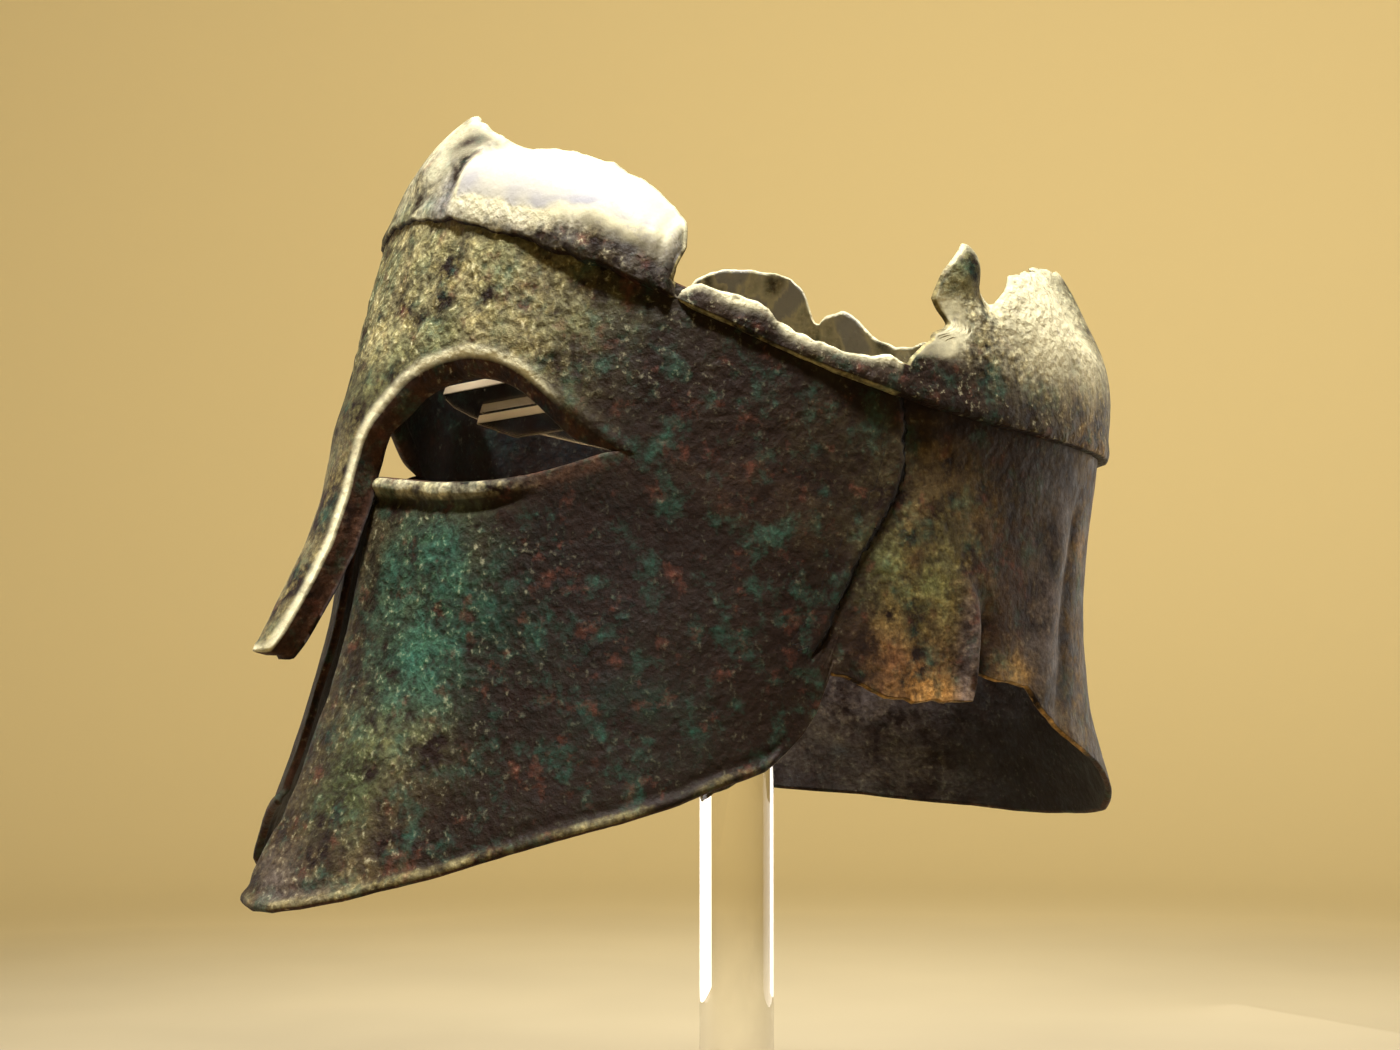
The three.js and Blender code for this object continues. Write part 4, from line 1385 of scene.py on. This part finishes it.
@dataclass
class Crown:
    """What is left of the dome above the step: the front plate, a low near strip, the flap and the back.

    Attributes:
        column: spacing of the points round the head, degrees.
        low_rows: rows of the lower run.
        high_rows: rows of the upper run.
        sheet: thickness of the plain metal, mm.
    """

    column: float = 0.62
    low_rows: int = 22
    high_rows: int = 34
    sheet: float = 2.3

    def foot(self, angle: Array) -> Array:
        """The lower edge: the step round the head, torn into small rags over the forehead."""
        torn = 0.5 + 1.3 * smoothstep(44, 30, np.abs(angle - 4))
        return carination(angle) + torn * ragged(angle, np.zeros_like(angle), 5.0, 87)

    def top(self, angle: Array) -> Array:
        """The broken upper edge, ragged all along."""
        return read(TOP_EDGE, angle) + 1.0 * ragged(angle, np.zeros_like(angle), 4.5, 61)

    def middle(self, angle: Array) -> Array:
        """The line between the two runs, which is the broken edge itself where only the low strip is left."""
        strip = between(angle, (55, 56), (96.5, 95.5))
        return read(CROWN_MIDDLE, angle) + 0.7 * strip * ragged(angle, np.zeros_like(angle), 3.0, 67)

    def runs(self) -> list[Run]:
        """The low run all round the head, the front and far run over it, and the run from the flap to the back.

        Returns:
            The runs.
        """
        extra = [PLATE_END, FLAP_EDGE, 106.5, 180.0]
        angle = np.unique(np.concatenate([np.arange(-180, 180, self.column), extra]))
        low = np.linspace(0, 1, self.low_rows)
        high = np.linspace(0, 1, self.high_rows)
        front = angle[angle <= PLATE_END]
        back = angle[angle >= FLAP_EDGE]
        return [
            Run.between(angle, self.foot(angle), self.middle(angle), low),
            Run.between(front, self.middle(front), self.top(front), high),
            Run.between(back, self.middle(back), self.top(back), high),
        ]

    def plan(self) -> tuple[SheetPlan, Array]:
        """The joined runs with the flap's front edge scooped out, and each point's share of the flap's face.

        Returns:
            The plan and the shares.
        """
        plan = SheetPlan.join(self.runs())
        angle, height = plan.places.T
        angle = np.mod(angle + 180, 360) - 180
        behind = angle > FLAP_EDGE - 0.1
        under = smoothstep(74, 76.5, height - 0.5 * (angle - 99)) * smoothstep(95, 91, height)
        flap_face = behind * smoothstep(103, 101, angle) * under
        scoop = 6.5 * hill(height - 85, 9) * smoothstep(112, 96, angle) * behind
        plan.places[:, 0] = angle + scoop * (1 + 0.4 * ragged(angle * 0, height, 5, 91))
        return plan, flap_face

    def build(self, finish: Material) -> Object:
        """Makes the crown and paints its zones.

        Args:
            finish: the bronze.

        Returns:
            The piece.
        """
        plan, flap_face = self.plan()
        angle, height = plan.places.T
        step = CROWN_STEP - 2.5 * smoothstep(40, 20, np.abs(angle - 4)) - 2.4 * hill(angle - 76, 14)
        plain = wall_radius(angle, height, np.ones_like(angle)) + step
        zones = CrownZones(plan, flap_face, self.top(angle), plain)
        depth = self.sheet + 3.4 * smoothstep(8, 1, zones.rise) + 0.4 * lumps(zones.place, 8, 77, 2)
        sheet = Sheet(plan, self.radius(zones), depth, np.zeros_like(angle), 0.28)
        points, faces, origin, deep = sheet.build()
        piece = make_mesh("helmet_crown", to_model(points), faces, finish)
        outer = bloom_colours(CROWN_BLOOMS, Metal.OLIVE, angle, height, 501)
        # The slits are umber, and so is the painted shadow in the notch by the leaf's tip.
        outer = covered(outer, 0.95 * zones.slit, Metal.UMBER)
        holes = smoothstep(0.52, 0.66, lumps(zones.place, 9, 81, 2))
        inner = bloom_colours(INNER_BLOOMS, Metal.BROWN, angle, height, 601)
        inner = covered(inner, 0.9 * holes, Metal.UMBER)
        shadowed = (zones.rise < 2) & (zones.strip < 0.5)
        rim = np.where(shadowed[:, None], Metal.UMBER.value, Metal.TAN.value)
        paint(piece, "patina", skin_colour(origin, deep, outer, inner, rim))
        # Painted highlight on the far fragments' inner faces, where the top light strikes them, and on the pale
        # outer parts.
        light = smoothstep(0.0, 0.6, lumps(zones.place, 7, 85, 3) + 0.5) * (1 - holes)
        inner_light = 0.95 * light * between(angle, (-178, -140), (-40, -54)) * smoothstep(62, 86, height)
        bare = np.where(deep <= 0, self.bare_metal_highlight(zones)[origin], inner_light[origin])
        paint(piece, "chalk_highlight", np.clip(bare, 0, 1))
        pale_lip = hill(zones.top_gap, 2.2) * np.clip(0.6 + lumps(zones.place, 10, 97, 2), 0, 1)
        worn = np.clip(0.6 * hill(zones.top_gap, 1.2) + 0.6 * zones.strip * pale_lip, 0, 1)
        paint(piece, "worn", np.where(deep < 0.9, worn[origin], 0.0))
        smooth = 1 - zones.front_plate * smoothstep(4, 10, zones.rise)
        crust = 0.7 * smooth * (1 - flap_face) * (1 - 0.5 * zones.leaf)
        paint(piece, "crust", np.clip(crust, 0.0, 1)[origin])
        paint(piece, "crack", np.full(len(points), NO_CRACK))
        return piece

    def radius(self, zones: CrownZones) -> Array:
        """The outer skin's radius: the wall's with the step, the plate's inward curve, bulges and dents, mm.

        Args:
            zones: how the points lie to the features.

        Returns:
            One radius for each point.
        """
        angle, height, place, plate = zones.angle, zones.height, zones.place, zones.front_plate
        radius = zones.plain + 1.2 * lumps(place, 40, 71, 2) + (0.35 - 0.25 * plate) * lumps(place, 9, 73, 3)
        rolls = 0.5 + 0.5 * np.sin(angle * 2.4 + height * 0.1)
        radius -= plate * 1.6 * smoothstep(48, 53, angle) * rolls
        radius += 0.8 * hill(zones.rise - 1.5, 2.5) * lumps(place, 6, 75, 2) + 0.6 * hill(zones.rise - 2, 3)
        over = np.square(smoothstep(15, -3, zones.top_gap))
        radius += plate * (2.6 * hill(zones.rise - 12, 10) - 13.0 * over)
        for middle, width, start, full, rise in CROWN_BULGES:
            radius += rise * hill((angle - middle) * SPREAD, width) * smoothstep(start, full, height)
        radius -= 3.5 * hill((angle - 12) * SPREAD, 5) * hill(height - 108, 6)
        flap_dent = hill((angle - 99) * SPREAD, 10) * hill(height - 86, 8)
        return radius - 3.0 * flap_dent * (angle > FLAP_EDGE - 0.1)

    def bare_metal_highlight(self, zones: CrownZones) -> Array:
        """Where the outer skin is pale bare metal with the top light's glare as painted highlight: the front
        plate, the leaf, the flap's face and the back's top.

        Args:
            zones: how the points lie to the features.

        Returns:
            One number from 0 to 1 for each point.
        """
        angle, place = zones.angle, zones.place
        border = 6.5 * smoothstep(24, 44, angle)
        over_border = smoothstep(border - 1, border + 8, zones.rise + 3.5 * lumps(place, 7, 83, 3))
        plate = zones.front_plate * over_border * smoothstep(56, 51, angle)
        plate *= 0.96 + 0.12 * lumps(place, 14, 99, 3)
        leaf = zones.leaf * smoothstep(-0.2, 0.6, lumps(place, 10, 89, 3)) * smoothstep(2, 8, zones.rise) * 0.5
        flap = zones.flap_face * np.clip(0.45 + 0.6 * lumps(place, 8, 93, 3), 0, 0.8)
        high = smoothstep(80, 100, zones.height + 6 * lumps(place, 12, 95, 3))
        back = 0.85 * between(angle, (110, 116), (150, 136)) * high
        return np.maximum(np.maximum.reduce([plate, leaf, flap]) * (1 - zones.slit), back)


# ---- the stand ----

def closed_stack(rings: list[Array]) -> tuple[Array, Array]:
    """Closes a stack of rings with equally many points into a solid.

    A band of triangles joins each ring to the next. A fan closes each end, from over or under the middle of the
    ring halfway up.

    Args:
        rings: the rings from the lowest up, each anticlockwise seen from above, mm.

    Returns:
        Points (mm) and triangles.
    """
    size, last = len(rings[0]), (len(rings) - 1) * len(rings[0])
    here, following = np.arange(size), np.roll(np.arange(size), -1)
    bottom, top = np.full(size, last + size), np.full(size, last + size + 1)
    faces = []
    for start in range(0, last, size):
        a, b = here + start, following + start
        faces += [np.stack([a, b, b + size], 1), np.stack([a, b + size, a + size], 1)]
    faces += [np.stack([bottom, following, here], 1), np.stack([top, here + last, following + last], 1)]
    middle = rings[len(rings) // 2].mean(0)
    ends = [(*middle[:2], ring.mean(0)[2]) for ring in (rings[0], rings[-1])]
    return np.concatenate([*rings, ends]), np.concatenate(faces)


def slab_rings(outline: Array, low: float, high: float, edge: float) -> list[Array]:
    """The rings of a slab with rounded edges.

    The outline is repeated up the slab and moved inwards along its own normals, by a quarter circle at both
    edges.

    Args:
        outline: corners seen from above, anticlockwise, mm.
        low: height of the underside, mm.
        high: height of the top, mm.
        edge: radius of the rounded edges, mm.

    Returns:
        The rings from the lowest up, mm.
    """
    along = np.roll(outline, -1, axis=0) - np.roll(outline, 1, axis=0)
    inward = np.stack([-along[:, 1], along[:, 0]], axis=1)
    inward /= np.linalg.norm(inward, axis=1, keepdims=True)
    turn = np.linspace(0, np.pi / 2, 5)
    inset = edge * (1 - np.sin(turn))
    rise = edge * (1 - np.cos(turn))
    levels = np.concatenate([low + rise, high - rise[::-1]])
    insets = np.concatenate([inset, inset[::-1]])
    return [
        np.column_stack([outline + inward * drawn_in, np.full(len(outline), level)])
        for level, drawn_in in zip(levels, insets)
    ]


def rounded_box_outline(half_x: float, half_y: float, corner: float, arc: int = 14) -> Array:
    """A rectangle with round corners, anticlockwise from its right side.

    Args:
        half_x: half its width, mm.
        half_y: half its depth, mm.
        corner: radius of its corners, mm.
        arc: points to a corner.

    Returns:
        The corners, mm.
    """
    turn = np.linspace(0, np.pi / 2, arc)
    quarter = np.stack([np.cos(turn), np.sin(turn)], axis=1) * corner
    parts = []
    for k, (sx, sy) in enumerate(((1, 1), (-1, 1), (-1, -1), (1, -1))):
        c, s = np.cos(k * np.pi / 2), np.sin(k * np.pi / 2)
        turned = quarter @ np.array([[c, s], [-s, c]])
        parts.append(turned + np.array([sx * (half_x - corner), sy * (half_y - corner)]))
    return np.concatenate(parts)


@dataclass
class Stand:
    """Foot plate, rod, plate and bar of clear acrylic with polished edges.

    Attributes:
        foot_half: half the foot's side, mm.
        foot_height: the foot's thickness, mm.
        rod: the rod's radius, mm.
        rod_edge: the bevel at the rod's ends, mm.
        plate_top: height of the plate's top in the helmet's frame, mm.
        plate: thickness of the plate and of the bar, mm.
        gap: the glue gap between two pieces, mm.
    """

    foot_half: float = 75.0
    foot_height: float = 14.0
    rod: float = 11.0
    rod_edge: float = 0.5
    plate_top: float = 52.5
    plate: float = 3.0
    gap: float = 0.3

    def piece(self, name: str, rings: list[Array], tilted: bool, finish: Material) -> Object:
        """Makes one piece from its rings.

        Args:
            name: the piece's name.
            rings: its rings from the lowest up, mm.
            tilted: whether they are in the helmet's frame, and not the model's.
            finish: its finish.

        Returns:
            The piece.
        """
        points, faces = closed_stack(rings)
        points = to_model(points) if tilted else points * 0.001
        piece = make_mesh(name, points, faces, finish)
        piece.data.set_sharp_from_angle(angle=SHARP)
        return piece

    def plate_outline(self) -> Array:
        """The plate's outline, from half widths along the head.

        Returns:
            The corners, mm.
        """
        half_widths = np.array([
            (-74, 64), (-71, 70), (-65, 78), (-57, 82.6), (-53, 83.6), (-47, 80), (-38, 71), (-28, 64),
            (-19, 56), (0, 42), (24, 25),
        ])
        right = half_widths[:, ::-1]
        return np.concatenate([right, right[::-1] * np.array([-1, 1])])

    def rod_rings(self) -> list[Array]:
        """The rod's rings: a bevelled circle at the foot, and one cut along the tilted plate's underside.

        Returns:
            The rings from the lowest up, mm.
        """
        turn = np.arange(128) / 128 * 2 * np.pi
        low = self.foot_height + self.gap
        underside = (self.plate_top - self.plate - self.gap) / np.cos(TILT)
        edge = self.rod_edge
        rings = []
        for inset, rise in ((edge, 0.0), (0.0, edge), (0.0, -edge), (edge, 0.0)):
            x, y = (self.rod - inset) * np.cos(turn), (self.rod - inset) * np.sin(turn)
            cut = HELMET_LIFT + underside - (y - HELMET_AHEAD) * np.tan(TILT)
            level = cut if len(rings) > 1 else np.full_like(turn, low)
            rings.append(np.stack([x, y, level + rise], axis=1))
        return rings

    def build(self, finish: Material, sawn: Material, block: Material) -> None:
        """Makes the four pieces and hides the CAD solids they stand for.

        Args:
            finish: the rod's acrylic.
            sawn: the plate's and bar's.
            block: the foot's.
        """
        outline = rounded_box_outline(self.foot_half, self.foot_half, 10)
        foot = self.piece("acrylic_foot", slab_rings(outline, 0, self.foot_height, 0.8), False, block)
        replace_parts(foot, "stand_base")
        low = self.plate_top - self.plate
        rings = slab_rings(self.plate_outline(), low, self.plate_top, 0.5)
        plate = self.piece("acrylic_plate", rings, True, sawn)
        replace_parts(plate, "support_plate")
        outline = rounded_box_outline(73, 7, 0.8, 4) + np.array([0, -51])
        rings = slab_rings(outline, low - self.gap - self.plate, low - self.gap, 0.4)
        bar = self.piece("acrylic_bar", rings, True, sawn)
        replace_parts(bar, "support_bar")
        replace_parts(self.post(finish), "stand_post")

    def post(self, finish: Material) -> Object:
        """Makes the rod."""
        return self.piece("acrylic_rod", self.rod_rings(), False, finish)


# ---- the room, lights and camera ----

def place_facing(thing: Object, place: Colour, aim: Colour) -> None:
    """Puts a lamp or camera in the scene, turned to face a point.

    Args:
        thing: the lamp or camera.
        place: its place, m.
        aim: the point it faces, m.
    """
    thing.location = place
    thing.rotation_euler = (Vector(aim) - Vector(place)).to_track_quat("-Z", "Y").to_euler()
    bpy.context.collection.objects.link(thing)


@dataclass(frozen=True)
class SoftBox:
    """A rectangular lamp that faces a point and is itself out of the picture.

    Attributes:
        name: the lamp's name.
        place: its middle, m.
        aim: the point it faces, m.
        size: its width and height, m.
        power: its strength, W.
        colour: the colour of its light.
        spread: how wide its beam opens, degrees.
    """

    name: str
    place: Colour
    aim: Colour
    size: tuple[float, float]
    power: float
    colour: Colour
    spread: float

    def hang(self) -> None:
        """Makes the lamp."""
        data = bpy.data.lights.new(self.name, "AREA")
        data.shape = "RECTANGLE"
        data.size, data.size_y = self.size
        data.spread = np.radians(self.spread)
        data.energy = self.power
        data.color = self.colour
        lamp = bpy.data.objects.new(self.name, data)
        place_facing(lamp, self.place, self.aim)
        lamp.visible_camera = False


LAMPS = (
    SoftBox("lamp_above", (0.42, -0.34, 1.65), (0.0, 0.0, 0.2), (0.3, 0.3), 3.3, (1.0, 0.99, 0.98), 36),
    SoftBox("panel_right", (-0.02, 0.36, 0.15), (0.0, 0.0, 0.15), (0.42, 0.30), 0.36, (1.0, 0.96, 0.92), 100),
    SoftBox("panel_left", (-0.27, -0.26, 0.15), (0.0, 0.0, 0.15), (0.26, 0.30), 0.13, (0.98, 0.96, 1.0), 100),
    SoftBox("lamp_wall", (-0.6, 0.5, 2.6), (-1.9, 1.5, 0.1), (1.0, 1.0), 23, (1.0, 0.87, 0.58), 125),
    SoftBox("lamp_behind", (0.6, -0.5, 2.6), (1.9, -1.7, 0.2), (1.0, 1.0), 8, (1.0, 0.92, 0.75), 125),
)


@dataclass
class Studio:
    """A pale floor that curves up into a round wall, soft lights and the camera.

    Attributes:
        floor: radius of the flat floor, m.
        wall: radius of the wall, m.
        height: height of the wall, m.
        camera: the camera's place, m.
        target: the point it looks at, m.
        lens: focal length on a 36 mm wide sensor, mm.
        sky: colour of the soft light from all sides.
        sky_strength: how strong it is.
    """

    floor: float = 1.0
    wall: float = 2.8
    height: float = 3.2
    camera: Colour = (0.7636, -0.3844, 0.160)
    target: Colour = (0.0, -0.012, 0.1882)
    lens: float = 74.3
    sky: Colour = (1.0, 0.97, 0.92)
    sky_strength: float = 0.10

    def room(self) -> None:
        """Makes the floor and wall: a profile of floor, quarter circle and wall, carried round a circle."""
        bend = self.wall - self.floor
        turn = np.linspace(0, np.pi / 2, 24)
        radius = np.concatenate([[0.001, 0.6], self.floor + bend * np.sin(turn), [self.wall]])
        level = np.concatenate([[0, 0], bend * (1 - np.cos(turn)), [self.height]])
        around = np.linspace(0, 2 * np.pi, 97)
        x = radius[None, :] * np.cos(around)[:, None]
        y = radius[None, :] * np.sin(around)[:, None]
        z = np.broadcast_to(level[None, :], x.shape)
        points = np.stack([x, y, z], axis=-1).reshape(-1, 3)
        room = smooth_object("room", points, grid_faces(*x.shape)[:, ::-1], PaleRoom().material())

    def sky_light(self) -> None:
        """Lights the scene softly from all sides."""
        world = bpy.data.worlds.new("soft_sky")
        world.use_nodes = True
        background = world.node_tree.nodes["Background"]
        background.inputs["Color"].default_value = (*self.sky, 1.0)
        background.inputs["Strength"].default_value = self.sky_strength
        bpy.context.scene.world = world
        bpy.context.scene.view_settings.view_transform = "Standard"

    def build(self) -> None:
        """Makes the room, the lights, the sky and the camera."""
        self.room()
        for lamp in LAMPS:
            lamp.hang()
        self.sky_light()
        data = bpy.data.cameras.new("camera")
        data.sensor_width = 36.0
        data.lens = self.lens
        camera = bpy.data.objects.new("camera", data)
        place_facing(camera, self.camera, self.target)
        bpy.context.scene.camera = camera


def main() -> None:
    """Builds the helmet, the stand and the studio in order."""
    logging.basicConfig(level=logging.INFO, format="%(name)s: %(message)s")
    bronze = CorrodedBronze().material()
    acrylic = ClearAcrylic().material()
    sawn = ClearAcrylic("sawn_acrylic", (0.62, 0.55, 0.44), True).material()
    block = ClearAcrylic("acrylic_block", body=0.35).material()
    walls = HelmetWalls().build(bronze)
    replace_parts(walls, "helmet_shell")
    Crown().build(bronze)
    Stand().build(acrylic, sawn, block)
    Studio().build()


if __name__ == "__main__":
    main()
